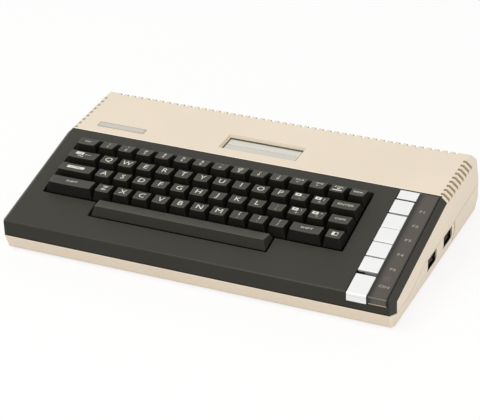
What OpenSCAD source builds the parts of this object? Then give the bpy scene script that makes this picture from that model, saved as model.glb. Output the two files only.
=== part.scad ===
// Vintage home computer: a wedge-shaped keyboard case with a cartridge slot in its top.
// Inside the modules y runs from the front face to the rear and z from the underside up.

/* [Case] */
// Width over the sides
case_w = 378; // [370:1:400]
// Depth from the front face to the rear wall
case_d = 223; // [218:1:240]
// Height of the top at the rear edge, above the underside
rear_h = 60.8; // [59.8:0.1:66]
// Height of the top where the sloping deck ends
deck_rear_h = 58.6; // [56:0.2:60]
// Height of the deck's front edge
deck_front_h = 29.3; // [28:0.1:31]
// Depth of the sloping deck
deck_d = 132.2; // [131:0.2:138]
// Thickness of the plastic walls
wall = 2.5; // [2:0.1:3]
// How far each side draws in at the underside
side_draft = 2.5; // [0.5:0.1:4]
// How far the front draws in at the underside
front_tuck = 4.9; // [2:0.1:7]
// How far the rear wall draws in at the underside
rear_tuck = 2.5; // [0.5:0.1:4]
// How far the rear wall leans in from the seam to the top
rear_lean = 10.5; // [8:0.5:12]
// Radius of the rear top edge
rear_round = 2; // [1:0.5:4]
// Radius along both edges of the side chamfers behind the deck
side_round = 1.5; // [0.5:0.5:3]
// Radius of the rear corners in plan
corner_round = 2.5; // [1:0.5:5]
// Width that the cut front corners take off the front
corner_w = 4.1; // [2:0.1:6]
// Depth that the cut front corners take off the sides
corner_d = 7; // [4:0.5:9]
// Lean of the cut corners below the seam, in degrees
corner_lean = 12; // [4:1:16]
// Small radius on the long front and bottom edges
edge_round = 1; // [0.5:0.1:2]

/* [Seam] */
// Height of the seam at the front
seam_front_h = 14.2; // [13:0.1:16]
// Height of the seam at the ports
seam_mid_h = 23.6; // [23.2:0.1:24.6]
// Height of the seam at the rear wall
seam_rear_h = 27.6; // [26:0.1:29]
// Depth at which the seam starts to rise
seam_rise_start = 37; // [30:1:45]
// Depth at which the seam levels out
seam_rise_end = 77; // [60:1:78]
// Depth behind which the seam rises again to the rear wall
seam_lift_start = 160; // [157:1:168]
// Open line between the upper and lower casings
seam_gap = 0.35; // [0.2:0.05:0.6]

/* [Vents] */
// Width of one slot
vent_w = 3.4; // [2:0.1:4.5]
// Slots in each side
vent_side_count = 9; // [5:1:10]
// Slots along the rear edge
vent_rear_count = 46; // [30:1:46]
// Distance from the deck's end to the middle of the first side slot
vent_start = 5.5; // [5:0.5:9]
// Distance from the middle of the last side slot to the rear wall
vent_end = 24.6; // [22:0.1:28]
// Distance from each side to the middle of the first rear slot
vent_margin = 18.4; // [17:0.1:24]
// How far the slots reach in over the top, from the sides and from the rear edge
vent_reach = 7.8; // [5.5:0.1:8]
vent_rear_reach = 3.5; // [2:0.5:5]
// How far the slots reach down the walls
vent_drop = 6.8; // [6:0.1:10]

/* [Keyboard] */
// Gap between the feet of neighbouring keycaps
key_gap = 0.95; // [0.6:0.05:1.5]
// Distance from the left side to the first key cell
key_margin = 22.3; // [20.5:0.1:23.5]
// Distance from the last key cell to the right side
key_right_margin = 65.19; // [64.6:0.01:66.5]
// Distance up the deck to the front of the lowest letter row
key_start = 47.4; // [47:0.1:48.5]
// Distance from the digit row to the rear edge of the deck
key_rear_margin = 11.81; // [10.5:0.01:14]
// Clearance between the key cells and the cut-out
key_room = 1.4; // [0.8:0.1:1.8]
// The same at the left ends of the rows
key_room_left = 2.4; // [1.4:0.1:3]
// How far a keycap's sides lean in
cap_lean = 2.3; // [1.5:0.05:3]
// How far its front leans in
cap_front_lean = 3.5; // [2:0.05:4]
// How far its back leans in
cap_back_lean = 2.9; // [2:0.05:3.4]
// How far a keycap reaches below the deck
cap_skirt = 1; // [0.5:0.1:1.5]
// Wall of a keycap
cap_wall = 1.2; // [1:0.1:1.5]
// Depth of the hollow in a key top
cap_dish = 0.5; // [0.2:0.05:0.6]
// Key travel
key_travel = 3.8; // [2.5:0.1:4]
// Width of the square plungers
stem_w = 5.5; // [4:0.1:6]
// Clearance round a plunger
stem_clear = 0.15; // [0.08:0.01:0.3]
// Units of key pitch before the space bar
bar_offset = 2.93; // [2.8:0.01:3.1]
// Units of key pitch that the space bar spans
bar_units = 9; // [8.5:0.05:9.2]
// Height of the middle of the space bar's top above the deck
bar_rise = 6.1; // [5:0.1:8]
// Tilt of its top against the deck, in degrees
bar_tilt = -16; // [-18:1:0]
// How far the space bar's front leans back
bar_front_lean = 5.2; // [3:0.1:6]
// How far the space bar's back leans forward
bar_back_lean = 1.5; // [1:0.1:4]
// Thickness of the keyboard's guide plate
plate_t = 2.5; // [2:0.1:3]
// Height of the guides below the plate
guide_h = 4; // [2:0.5:5]
// Depth of the well wall between the deck and the guide plate
well_h = 3.5; // [3:0.1:5]
// Thickness of the circuit boards
board_t = 1.6; // [1:0.1:2]

/* [Console column] */
// Width of the silver keys
console_w = 18; // [16:0.1:18.4]
// Distance up the deck to the first silver key
console_start = 27.6; // [27:0.1:28.5]
// Distance from the last silver key to the rear edge of the deck
console_rear_margin = 13.56; // [13.2:0.01:15]
// Height of the silver keys above the deck
console_rise = 1; // [0.4:0.1:1.6]
// Travel of the silver keys
console_travel = 1.5; // [1:0.1:2]
// Length of the front trim up the deck
front_trim_l = 24.5; // [20:0.5:26]
// Length of the rear trim down from the deck's end
rear_trim_l = 11.4; // [9:0.1:11.8]
// Height to which the front trim wraps down
front_trim_h = 21.5; // [18:0.5:24]
// Width of the smoked label strip
strip_w = 16.8; // [14:0.1:17.5]
// Distance from the side to the label strip
strip_margin = 6.7; // [6.1:0.1:7.5]
// Gap between the silver column and the strip
strip_gap = 1.6; // [1.2:0.1:2.2]
// Height to which the strip wraps down
strip_h = 22.5; // [18:0.5:25]
// Thickness of the strip and the trims
trim_t = 1.2; // [0.8:0.1:1.5]
// Clearance round the strip and the trims
trim_clear = 0.2; // [0.1:0.05:0.4]
// Radius of the power light
led_r = 2.5; // [1.5:0.1:3]
// Distance of the power light up the deck
led_s = 24.4; // [20:0.2:28]

/* [Cartridge slot] */
// Width of the door opening
slot_w = 73.6; // [70:0.2:84]
// Depth of the door opening
slot_d = 22.4; // [20:0.2:26]
// Middle of the opening, as a share of the depth behind the deck
slot_share = 0.306; // [0.27:0.002:0.34]
// Width of the sloping rim
rim_w = 2; // [2:0.1:4]
// Depth of the doors below the top
door_drop = 2.8; // [2.7:0.1:4]
// Thickness of a door
door_t = 1.4; // [1:0.1:1.5]
// Radius of the rolled hinge edge
hinge_r = 1.6; // [1.5:0.1:2.2]
// Radius of the hinge pins
pin_r = 1; // [0.8:0.1:1.2]
// Radial clearance of the hinge pins
pin_clear = 0.06; // [0.03:0.01:0.1]
// Clearance round the doors
door_clear = 0.4; // [0.3:0.05:0.8]
// Depth of the chute below the top
chute_h = 30; // [24:1:31]
// Wall of the chute
chute_wall = 2; // [1.6:0.1:2.5]

/* [Name plate] */
// Length of the bare name plate
badge_l = 48.7; // [40:0.1:60]
// Depth of the name plate
badge_d = 8.1; // [6:0.1:10]
// Distance from the left side to the plate
badge_margin = 24.5; // [20:0.5:40]
// Distance from the deck's end to the plate's middle
badge_mid = 17.2; // [14:0.1:24]
// Thickness of the plate
badge_t = 0.8; // [0.6:0.1:1]
// How deep the plate is let in
badge_inset = 0.5; // [0.3:0.1:0.5]

/* [Feet and screws] */
// Height of the rubber feet below the underside
foot_h = 2; // [1:0.5:4]
// Radius of the feet
foot_r = 7; // [5:0.5:9]
// How deep the feet are let in
foot_inset = 0.8; // [0.4:0.1:1.2]
// Radius of the screw bosses
boss_r = 4; // [3.6:0.1:4.4]
// Radius of the screws
screw_r = 1.4; // [1.2:0.1:1.6]
// Radius of the screw heads
head_r = 2.8; // [2.4:0.1:3]
// Clearance round the screws
screw_clear = 0.1; // [0.05:0.05:0.2]

/* [Electronics] */
// Distance from each side to the main board
main_margin = 20.5; // [19.5:0.5:28]
// Front edge of the main board
main_front = 60; // [56:1:64]
// Height of the main board's underside
main_z = 8; // [7:0.1:8.2]
// Thickness of the sheet-metal shields
sheet_t = 0.8; // [0.5:0.1:1]
// Height of the upper shield above the main board
shield_h = 12.4; // [10:0.2:13]
// Width of the side port openings
port_w = 20.4; // [18:0.2:22]
// Height of the side port openings
port_h = 10.4; // [9:0.2:10.8]
// Height of the middle of the ports
port_z = 16.6; // [16.4:0.1:17]
// Depth at which the front side port sits
port_front = 94.4; // [92:0.2:96]
// Depth at which the rear side port sits
port_rear = 135.8; // [133:0.2:137]
// How far connectors sit back from the outer face
port_recess = 6; // [5.2:0.1:7]
// Radius of the connector pins
contact_r = 0.5; // [0.3:0.05:0.6]
// Radius of the round sockets
din_r = 7; // [6:0.1:7.4]
// Radius of the aerial jack's barrel
jack_r = 4; // [3.5:0.1:4.4]
// Clearance between a connector and its hole
hole_clear = 0.5; // [0.3:0.1:0.8]
// Swing of the power rocker, in degrees
rocker_swing = 14; // [8:1:16]
// Travel of the channel slider
slider_travel = 4; // [3:0.5:4.5]

/* [Hidden] */

// Colours
cream = [0.90, 0.85, 0.77];
charcoal = [0.27, 0.27, 0.26];
key_grey = [0.22, 0.21, 0.20];
silver = [0.93, 0.93, 0.93];
black = [0.10, 0.10, 0.10];
steel = [0.70, 0.71, 0.72];
board_green = [0.16, 0.36, 0.22];

// The case in side view and in plan
eps = 0.01;
far = 400;
half = case_w / 2;
slope = atan((deck_rear_h - deck_front_h) / deck_d);
rear_slope = atan((rear_h - deck_rear_h) / (case_d - rear_lean - deck_d));
deck_len = deck_d / cos(slope);
rear_len = case_d - deck_d;
vent_side_pitch = (rear_len - vent_start - vent_end) / (vent_side_count - 1);
vent_rear_pitch = (case_w - 2 * vent_margin) / (vent_rear_count - 1);
chamfer = 5.1;
chamfer_drop = 4.75;
chamfer_side = chamfer_drop / cos(slope);
side_pts = [
    [front_tuck, 0], [case_d - rear_tuck, 0], [case_d, seam_rear_h], [case_d - rear_lean, rear_h],
    [deck_d, deck_rear_h], [0, deck_front_h], [0, seam_front_h]
];
side_radii = [edge_round, edge_round, 0, rear_round, 0, edge_round, 0];
plan_pts = [
    [corner_w - half, 0], [half - corner_w, 0], [half, corner_d],
    [half, case_d], [-half, case_d], [-half, corner_d]
];
plan_radii = [0, 0, 0, corner_round, corner_round, 0];
draft_pts = [
    [side_draft - half, 0], [half - side_draft, 0], [half, seam_front_h],
    [half, far], [-half, far], [-half, seam_front_h]
];
chamfer_pts = [
    [-half, -far], [half, -far], [half, -chamfer_drop],
    [half - chamfer, 0], [chamfer - half, 0], [-half, -chamfer_drop]
];
rear_chamfer_radii = [0, 0, side_round, side_round, side_round, side_round];
seam_pts = [
    [-far, seam_front_h], [seam_rise_start, seam_front_h], [seam_rise_end, seam_mid_h],
    [seam_lift_start, seam_mid_h], [case_d, seam_rear_h], [far, seam_rear_h]
];

// Key rows from the rear to the front, in units of key pitch
row_units = [
    [1.25, 1, 1, 1, 1, 1, 1, 1, 1, 1, 1, 1, 1, 1, 1],
    [1.75, 1, 1, 1, 1, 1, 1, 1, 1, 1, 1, 1, 1, 1.5],
    [2, 1, 1, 1, 1, 1, 1, 1, 1, 1, 1, 1, 1, 1.25],
    [2.5, 1, 1, 1, 1, 1, 1, 1, 1, 1, 1, 1.75, 1]
];
// Height of each row's key tops above the deck, and their tilt against it
row_rise = [7.5, 7.7, 8.2, 8.4];
row_tilt = [-15, -11, -10.8, -9.2];
row_count = len(row_units);
row_span = 15.25;
key_pitch = (case_w - key_margin - key_right_margin) / row_span;
row_pitch = (deck_len - key_start - key_rear_margin) / row_count;
// Keycaps from this many units up have flat tops
dish_limit = 2;
grid_x0 = key_margin - half;
grid_x1 = grid_x0 + row_span * key_pitch;
grid_s1 = key_start + row_count * row_pitch;
bar_x0 = grid_x0 + bar_offset * key_pitch;
bar_x1 = bar_x0 + bar_units * key_pitch;
bar_mid = key_start - row_pitch / 2;
bar_stems = [-0.38, 0, 0.38];

// Levels below the deck, measured square to it
plate_top = -wall - well_h;
plate_low = plate_top - plate_t;
guide_low = plate_low - guide_h;
stem_show = 1.7;
stem_low = guide_low - stem_show;
stop_gap = 0.3;
circuit_top = stem_low - key_travel - stop_gap;
circuit_low = circuit_top - board_t;
plate_margin = 5;
well_wall = 1.6;
plate_x0 = grid_x0 - key_room_left - plate_margin;
plate_x1 = grid_x1 + key_room + plate_margin;
plate_s0 = key_start - row_pitch - key_room - well_wall;
plate_s1 = min(grid_s1 + key_room + plate_margin, deck_len - 4);
guide_wall = 1.4;

// Console column
strip_x1 = half - strip_margin;
strip_x0 = strip_x1 - strip_w;
console_x1 = strip_x0 - strip_gap;
console_x0 = console_x1 - console_w;
console_mid = console_x1 - console_w / 2;
column_edge = 0.7;
console_count = 5;
console_pitch = (deck_len - console_start - console_rear_margin) / console_count;
// Gaps at the silver keys, from the rear one's rear edge to the front one's front edge
console_gaps = [1.2, 2, 0.3, 0.8, 1.5, 1.2];
console_slot_s0 = front_trim_l + 0.6;
console_slot_s1 = deck_len - rear_trim_l - 0.6;
flange_t = 1.2;
flange_w = 1.2;
flange_top = -wall - stop_gap;
button_h = 3.5;
console_stem_low = flange_top - flange_t - 3;
console_board_top = console_stem_low - console_travel - stop_gap - button_h;
console_board_low = console_board_top - board_t;

// Cartridge chute, measured on the rear top
slot_mid = slot_share * rear_len;
slot_t0 = slot_mid - slot_d / 2;
slot_t1 = slot_mid + slot_d / 2;
chute_gap = hinge_r + door_clear;
door_n = -door_drop - hinge_r;
door_reach = slot_d / 2 - chute_gap - door_clear / 2;

// Screw bosses: x, y, and the height of the split
boss_x = half - 8.5;
boss_spots = [[half - 16.5, 14], [boss_x, 114.2], [half - 12.5, case_d - 15]];
boss_split = 11;
side_boss_top = 42;
head_pocket = 3;
foot_spots = [[half - 38, 26], [half - 38, case_d - 24]];

// Electronics
rear_face = case_d - port_recess;
rear_body_d = 16;
rear_stop = rear_face + 1.5;
main_w = case_w - 2 * main_margin;
main_rear = case_d - 11;
main_top = main_z + board_t;
socket_y = deck_d + slot_mid;
shield_low = main_z - sheet_t - 2;
shield_y0 = socket_y - 75.5;
shield_y1 = deck_d + 0.45 * rear_len;
shield_half = main_w / 2 - 20;
shield_top = main_top + shield_h;
modulator_y0 = deck_d + 0.515 * rear_len;
modulator_y1 = rear_face - rear_body_d - 1;
modulator_h = 15;
socket_h = 17;
socket_w = 72;
socket_d = 12;
port_body_w = 25;
port_body_h = 12.8;
port_body_l = 24;
pocket_w = 16.6;
pocket_h = 8;
pocket_d = 5;
contact_pitch = 2.76;
// Rear connectors: distance of each from the middle, and its width
serial_x = half - 48;
serial_w = 32;
bus_x = 60;
bus_w = 84;
monitor_x = -28;
channel_x = -54;
aerial_x = -80;
power_x = -110;
switch_x = 39 - half;
switch_w = 20;
switch_h = 11.4;
rear_z = port_z;

// Panels let into the lower casing, round the side ports and round the rear connectors
panel_low = 6;
panel_gap = 0.15;
panel_reach = 19.2;
panel_in = 4.2;
side_panel_y0 = port_front - panel_reach;
side_panel_y1 = port_rear + panel_reach;
rear_cuts = [
    switch_x - 16, (switch_x + power_x) / 2, (aerial_x + channel_x) / 2,
    (monitor_x + bus_x - bus_w / 2) / 2, (bus_x + bus_w / 2 + serial_x - serial_w / 2) / 2, serial_x + 24
];

function unit(v) = v / norm(v);
function left_normal(v) = [-v[1], v[0]];
// Corner shift that moves both edges at b inwards by one
function corner_shift(a, b, c) =
    let (u = left_normal(unit(b - a)), v = left_normal(unit(c - b))) (u + v) / (1 + u * v);
function inset(pts, d) = let (n = len(pts)) [
    for (i = [0 : n - 1]) pts[i] + d * corner_shift(pts[(i + n - 1) % n], pts[i], pts[(i + 1) % n])
];
function less(radii, d) = [for (r = radii) max(r - d, 0)];
function sum(v, n) = n <= 0 ? 0 : v[n - 1] + sum(v, n - 1);
function row_mid(r) = key_start + row_pitch * (row_count - 0.5 - r);
function key_mid(r, i) = grid_x0 + key_pitch * (sum(row_units[r], i) + row_units[r][i] / 2);
function deck_z(y) = deck_front_h + y * tan(slope);

module in_case() { translate([0, -case_d / 2, foot_h]) children(); }
module on_deck() { translate([0, 0, deck_front_h]) rotate([slope, 0, 0]) children(); }
module on_rear() { translate([0, deck_d, deck_rear_h]) rotate([rear_slope, 0, 0]) children(); }
module both_sides() { children(); mirror([1, 0, 0]) children(); }

// Extrudes a side view over a stretch of x, or a front view over a stretch of y
module along_x(x0, x1) { translate([x0, 0, 0]) rotate([90, 0, 90]) linear_extrude(x1 - x0) children(); }
module along_y(y0, y1) { translate([0, y1, 0]) rotate([90, 0, 0]) linear_extrude(y1 - y0) children(); }
module box(low, high) { translate(low) cube(high - low); }

// Convex outline with a radius at each corner
module round_poly(pts, radii) {
    n = len(pts);
    shifts = [for (i = [0 : n - 1]) corner_shift(pts[(i + n - 1) % n], pts[i], pts[(i + 1) % n])];
    polygon([
        for (i = [0 : n - 1])
            let (
                back = unit(pts[(i + n - 1) % n] - pts[i]),
                ahead = unit(pts[(i + 1) % n] - pts[i]),
                run = radii[i] * sqrt(max(shifts[i] * shifts[i] - 1, 0))
            )
            each (run > 0 ? [pts[i] + run * back, pts[i] + run * ahead] : [pts[i]])
    ]);
    for (i = [0 : n - 1])
        if (radii[i] > 0) translate(pts[i] + radii[i] * shifts[i]) circle(r = radii[i], $fn = 64);
}
module round_rect(x0, y0, x1, y1, r) {
    round_poly([[x0, y0], [x1, y0], [x1, y1], [x0, y1]], [r, r, r, r]);
}

// The case's block, moved inwards by e
module case_block(e) {
    difference() {
        intersection() {
            along_x(e - half, half - e) round_poly(inset(side_pts, e), less(side_radii, e));
            along_y(-1, case_d + 1) polygon(inset(draft_pts, e));
            translate([0, 0, -1]) linear_extrude(far) round_poly(inset(plan_pts, e), less(plan_radii, e));
        }
        both_sides() translate([half - corner_w, 0, seam_front_h])
            rotate([0, 0, atan2(corner_d, corner_w)]) rotate([corner_lean, 0, 0])
            box([-20, -50, -40], [20, e, 0]);
    }
}
module rear_block(e) {
    intersection() {
        case_block(e);
        on_rear() along_y(-far, far)
            round_poly(inset(chamfer_pts, e), less(rear_chamfer_radii, e));
    }
}
module deck_block(e) {
    intersection() {
        case_block(e);
        on_deck() along_y(-far, far) polygon(inset(chamfer_pts, e));
    }
}
module above_seam(gap) {
    along_x(-far, far) translate([0, gap]) polygon(concat(seam_pts, [[far, far], [-far, far]]));
}
module below_seam() {
    along_x(-far, far) polygon(concat(seam_pts, [[far, -far], [-far, -far]]));
}
// The sloping bezel's share of the case, in side view
module bezel_share() {
    along_x(-far, far) polygon([
        [-far, seam_front_h + seam_gap], [corner_d, seam_front_h + seam_gap],
        [corner_d, deck_z(corner_d) - chamfer_side], [deck_d, deck_z(deck_d) - chamfer_side],
        [deck_d, far], [-far, far]
    ]);
}

// Casing

module vents() {
    on_rear() both_sides() for (i = [0 : vent_side_count - 1])
        translate([0, vent_start + i * vent_side_pitch, 0])
            box([half - vent_reach, -vent_w / 2, -vent_drop], [half + 1, vent_w / 2, 1]);
    for (i = [0 : vent_rear_count - 1])
        translate([(i - (vent_rear_count - 1) / 2) * vent_rear_pitch, case_d - rear_lean, rear_h])
            box([-vent_w / 2, -vent_rear_reach, -vent_drop], [vent_w / 2, rear_lean, 1]);
}

module rim_cut() {
    low = -door_drop;
    on_rear() intersection() {
        along_y(0, 3 * slot_mid) polygon([
            [-slot_w / 2, low], [slot_w / 2, low],
            [slot_w / 2 + rim_w, eps], [-slot_w / 2 - rim_w, eps]
        ]);
        along_x(-half, half) polygon([
            [slot_t0, low], [slot_t1, low], [slot_t1 + rim_w, eps], [slot_t0 - rim_w, eps]
        ]);
    }
}
module chute_bore(extra, low) {
    on_rear() box([-slot_w / 2 - extra, slot_t0 - extra, low], [slot_w / 2 + extra, slot_t1 + extra, -1]);
}
module hinge_holes(r) {
    on_rear() for (t = [slot_t0 + chute_gap, slot_t1 - chute_gap])
        translate([0, t, door_n]) rotate([0, 90, 0]) cylinder(r = r, h = slot_w + 2 * chute_wall, center = true, $fn = 32);
}
module boss(spot, z0, z1) {
    translate([spot[0], spot[1], z0]) cylinder(r = boss_r, h = z1 - z0, $fn = 48);
}
module boss_hole(spot, r, z0, z1) {
    translate([spot[0], spot[1], z0]) cylinder(r = r, h = z1 - z0, $fn = 32);
}

module upper_shell() {
    color(cream) in_case() difference() {
        union() {
            difference() {
                intersection() {
                    difference() {
                        rear_block(0);
                        rear_block(wall);
                        bezel_share();
                    }
                    above_seam(seam_gap);
                }
                vents();
            }
            // ledge that carries the bezel's rear edge
            intersection() {
                rear_block(wall / 2);
                on_deck() box([wall + chamfer - half, deck_len - 3, -wall - 2], [half - wall - chamfer, deck_len + 4, -wall]);
            }
            intersection() {
                chute_bore(chute_wall, -chute_h);
                rear_block(wall / 2);
            }
            intersection() {
                chute_bore(chute_wall + rim_w, -door_drop - 1);
                rear_block(wall / 2);
            }
            // side and rear bosses, with a rib to the wall
            both_sides() {
                boss(boss_spots[1], boss_split, side_boss_top);
                box([boss_spots[1][0], boss_spots[1][1] - 1, seam_mid_h + 1],
                    [half - wall / 2, boss_spots[1][1] + 1, side_boss_top]);
            }
            both_sides() intersection() {
                boss(boss_spots[2], boss_split, rear_h);
                rear_block(wall / 2);
            }
        }
        rim_cut();
        chute_bore(0, -far);
        hinge_holes(pin_r + pin_clear);
        on_rear() translate([badge_margin - half, badge_mid, 0])
            box([-trim_clear / 2, -badge_d / 2 - trim_clear / 2, -badge_inset],
                [badge_l + trim_clear / 2, badge_d / 2 + trim_clear / 2, 5]);
        both_sides() for (spot = [boss_spots[1], boss_spots[2]])
            boss_hole(spot, screw_r + screw_clear / 2, 0, boss_split + 12);
    }
}

module rear_hole(x, w, h, r) {
    along_y(case_d - 8, case_d + 5) round_rect(x - w / 2, rear_z - h / 2, x + w / 2, rear_z + h / 2, r);
}
module rear_round_hole(x, r) {
    translate([x, case_d + 5, rear_z]) rotate([90, 0, 0]) cylinder(r = r, h = 13, $fn = 64);
}
module floor_vents() {
    slots = 11;
    pitch = 2 * shield_half / (slots + 2);
    for (i = [0 : slots - 1], y = [shield_y0, shield_y1 - 20])
        translate([(i - (slots - 1) / 2) * pitch, y, -1])
            linear_extrude(wall + 2) round_rect(-vent_w / 2, 0, vent_w / 2, 26, vent_w / 2 - 0.1);
}

// Walls and floor below the seam
module lower_skin() {
    intersection() {
        difference() {
            case_block(0);
            case_block(wall);
        }
        below_seam();
    }
}
// Room of the side panel and of the rear panel from x0 to x1, wider by gap at each end
module side_panel_room(gap) {
    box([half - panel_in, side_panel_y0 - gap, panel_low], [half + 5, side_panel_y1 + gap, far]);
}
module rear_panel_room(x0, x1, gap) {
    box([x0 - gap, case_d - 8, panel_low], [x1 + gap, case_d + 5, far]);
}
module side_panel() {
    color(cream) in_case() difference() {
        intersection() {
            lower_skin();
            side_panel_room(0);
        }
        for (y = [port_front, port_rear])
            along_x(half - 12, half + 5)
                round_rect(y - port_w / 2, port_z - port_h / 2, y + port_w / 2, port_z + port_h / 2, 1);
    }
}
module rear_panels() {
    color(cream) in_case() difference() {
        intersection() {
            lower_skin();
            for (i = [0 : len(rear_cuts) - 2]) rear_panel_room(rear_cuts[i], rear_cuts[i + 1], -panel_gap / 2);
        }
        rear_hole(serial_x, serial_w + 2 * hole_clear, port_h, 1);
        rear_hole(bus_x, bus_w + 2 * hole_clear, port_h, 1);
        rear_hole(channel_x, 12, 7, 1);
        rear_hole(switch_x, switch_w + 2 * hole_clear, switch_h + 2 * hole_clear, 1);
        rear_round_hole(monitor_x, din_r + hole_clear);
        rear_round_hole(power_x, din_r + hole_clear);
        rear_round_hole(aerial_x, jack_r + 2 * hole_clear);
    }
}

module lower_shell() {
    pillar_r = 3.2;
    color(cream) in_case() difference() {
        union() {
            lower_skin();
            both_sides() {
                for (spot = boss_spots) boss(spot, wall / 2, boss_split);
                // pillars under the lower shield
                for (x = [main_w / 2 - 16, main_w / 6], y = [main_front + 8, main_rear - 8])
                    translate([x, y, wall / 2]) cylinder(r = pillar_r, h = shield_low - wall / 2, $fn = 32);
            }
        }
        side_panel_room(panel_gap);
        rear_panel_room(rear_cuts[0], rear_cuts[len(rear_cuts) - 1], panel_gap / 2);
        // moulded line behind the ports, alike on both sides
        both_sides() box([half - 0.6, side_panel_y1, panel_low], [half + 1, side_panel_y1 + 0.8, seam_mid_h + 1]);
        floor_vents();
        both_sides() {
            for (spot = foot_spots) translate([spot[0], spot[1], -1])
                cylinder(r = foot_r + trim_clear / 2, h = 1 + foot_inset, $fn = 64);
            for (spot = boss_spots) {
                boss_hole(spot, screw_r + screw_clear, -1, boss_split + 1);
                boss_hole(spot, head_r + screw_clear, -1, head_pocket);
            }
        }
    }
}

module well_outline(extra) {
    reach = key_room + extra;
    left = key_room_left + extra;
    round_rect(grid_x0 - left, key_start - reach, grid_x1 + reach, grid_s1 + reach, 1.5);
    round_rect(bar_x0 - left, key_start - row_pitch - reach, bar_x1 + reach, key_start + 2, 1.5);
}

module keyboard_bezel() {
    post_r = 2.2;
    color(charcoal) in_case() difference() {
        union() {
            intersection() {
                difference() {
                    deck_block(0);
                    deck_block(wall);
                }
                bezel_share();
            }
            // wall round the keyboard well, down to the guide plate
            on_deck() translate([0, 0, plate_top]) linear_extrude(well_h + wall / 2) well_outline(well_wall);
            // posts that carry the console board
            on_deck() for (x = [console_x0 - flange_w - 3.4, console_x1 + flange_w + 3.4], s = [console_slot_s0, console_slot_s1])
                translate([x, s, console_board_top]) cylinder(r = post_r, h = -console_board_top - wall / 2, $fn = 32);
            both_sides() intersection() {
                boss(boss_spots[0], boss_split, deck_front_h + 5);
                case_block(wall / 2);
            }
        }
        on_deck() translate([0, 0, plate_top - 1]) linear_extrude(20) well_outline(0);
        // one shallow bed for the silver column and the strip, over the deck and down the front
        bed(console_x0 - column_edge, strip_x0, front_trim_h - trim_clear);
        bed(strip_x0 - 1, strip_x1 + trim_clear, strip_h - trim_clear);
        on_deck() box([console_x0 - column_edge, console_slot_s0, -10], [console_x1 + column_edge, console_slot_s1, 5]);
        on_deck() translate([(strip_x0 + strip_x1) / 2, led_s, -10]) cylinder(r = led_r + 0.1, h = 12, $fn = 48);
        both_sides() boss_hole(boss_spots[0], screw_r + screw_clear / 2, 0, boss_split + 10);
    }
}

// Cut over the deck and down the front face to low_z, as deep as the trims are thick
module bed(x0, x1, low_z) {
    along_x(x0, x1) difference() {
        polygon([[-5, low_z], [deck_d + 1, low_z], [deck_d + 1, far], [-5, far]]);
        round_poly(inset(side_pts, trim_t), less(side_radii, trim_t));
    }
}
// Skin of the deck and the front face that fills such a bed, from s0 to s1 up the deck
module deck_skin(x0, x1, low_z, s0, s1) {
    along_x(x0, x1) intersection() {
        difference() {
            round_poly(side_pts, side_radii);
            round_poly(inset(side_pts, trim_t), less(side_radii, trim_t));
        }
        polygon([[-5, low_z], [deck_d - trim_clear, low_z], [deck_d - trim_clear, far], [-5, far]]);
        translate([0, deck_front_h]) rotate(slope) polygon([[s0, -far], [s1, -far], [s1, 10], [s0, 10]]);
    }
}

module label_strip() {
    color([0.36, 0.35, 0.33, 0.75]) in_case() deck_skin(strip_x0, strip_x1, strip_h, -far, far);
}
// Trims in front of and behind the silver keys; the front one wraps over the deck's edge
module console_trims() {
    color(silver) in_case() {
        deck_skin(console_x0, console_x1, front_trim_h, -far, front_trim_l);
        deck_skin(console_x0, console_x1, deck_front_h, deck_len - rear_trim_l, far);
    }
}
module name_plate() {
    color([0.80, 0.84, 0.88]) in_case() on_rear() translate([badge_margin - half, badge_mid, -badge_inset])
        linear_extrude(badge_t) round_rect(0, -badge_d / 2, badge_l, badge_d / 2, 0.5);
}
module power_led() {
    color([0.45, 0.12, 0.12]) in_case() on_deck() translate([(strip_x0 + strip_x1) / 2, led_s, 0]) {
        translate([0, 0, -7]) cylinder(r = led_r, h = 7 - trim_t, $fn = 48);
        translate([0, 0, -7]) cylinder(r = led_r + 0.5, h = 7 - wall, $fn = 48);
    }
}
module feet() {
    color(black) in_case() both_sides() for (spot = foot_spots)
        translate([spot[0], spot[1], -foot_h]) cylinder(r = foot_r, h = foot_h + foot_inset, $fn = 64);
}
module case_screws() {
    head_t = 1.8;
    color(steel) in_case() both_sides() for (spot = boss_spots) translate([spot[0], spot[1], head_pocket]) {
        translate([0, 0, -head_t]) difference() {
            cylinder(r = head_r, h = head_t, $fn = 48);
            for (a = [0, 90]) rotate([0, 0, a]) translate([0, 0, 0.3]) cube([3.4, 0.7, 1.4], center = true);
        }
        cylinder(r = screw_r, h = boss_split + 8 - head_pocket, $fn = 32);
    }
}

// Keyboard

// Side or front view of a keycap, with its foot carried down by extra
function cap_side(foot, rise, lean0, lean1, tilt, extra) =
    let (
        high = rise + cap_skirt,
        front = -foot / 2 - lean0 * extra / high,
        back = foot / 2 + lean1 * extra / high,
        t0 = -foot / 2 + lean0,
        t1 = foot / 2 - lean1
    )
    [
        [front, -cap_skirt - extra], [back, -cap_skirt - extra],
        [t1, rise + (t1 - t0) / 2 * tan(tilt)],
        [t0, rise - (t1 - t0) / 2 * tan(tilt)]
    ];
function cap_front(foot, rise, lean, extra) =
    let (high = rise + cap_skirt, top = 3)
    [
        [-foot / 2 - lean * extra / high, -cap_skirt - extra],
        [foot / 2 + lean * extra / high, -cap_skirt - extra],
        [foot / 2 - lean * (high + top) / high, rise + top],
        [-foot / 2 + lean * (high + top) / high, rise + top]
    ];

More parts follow.
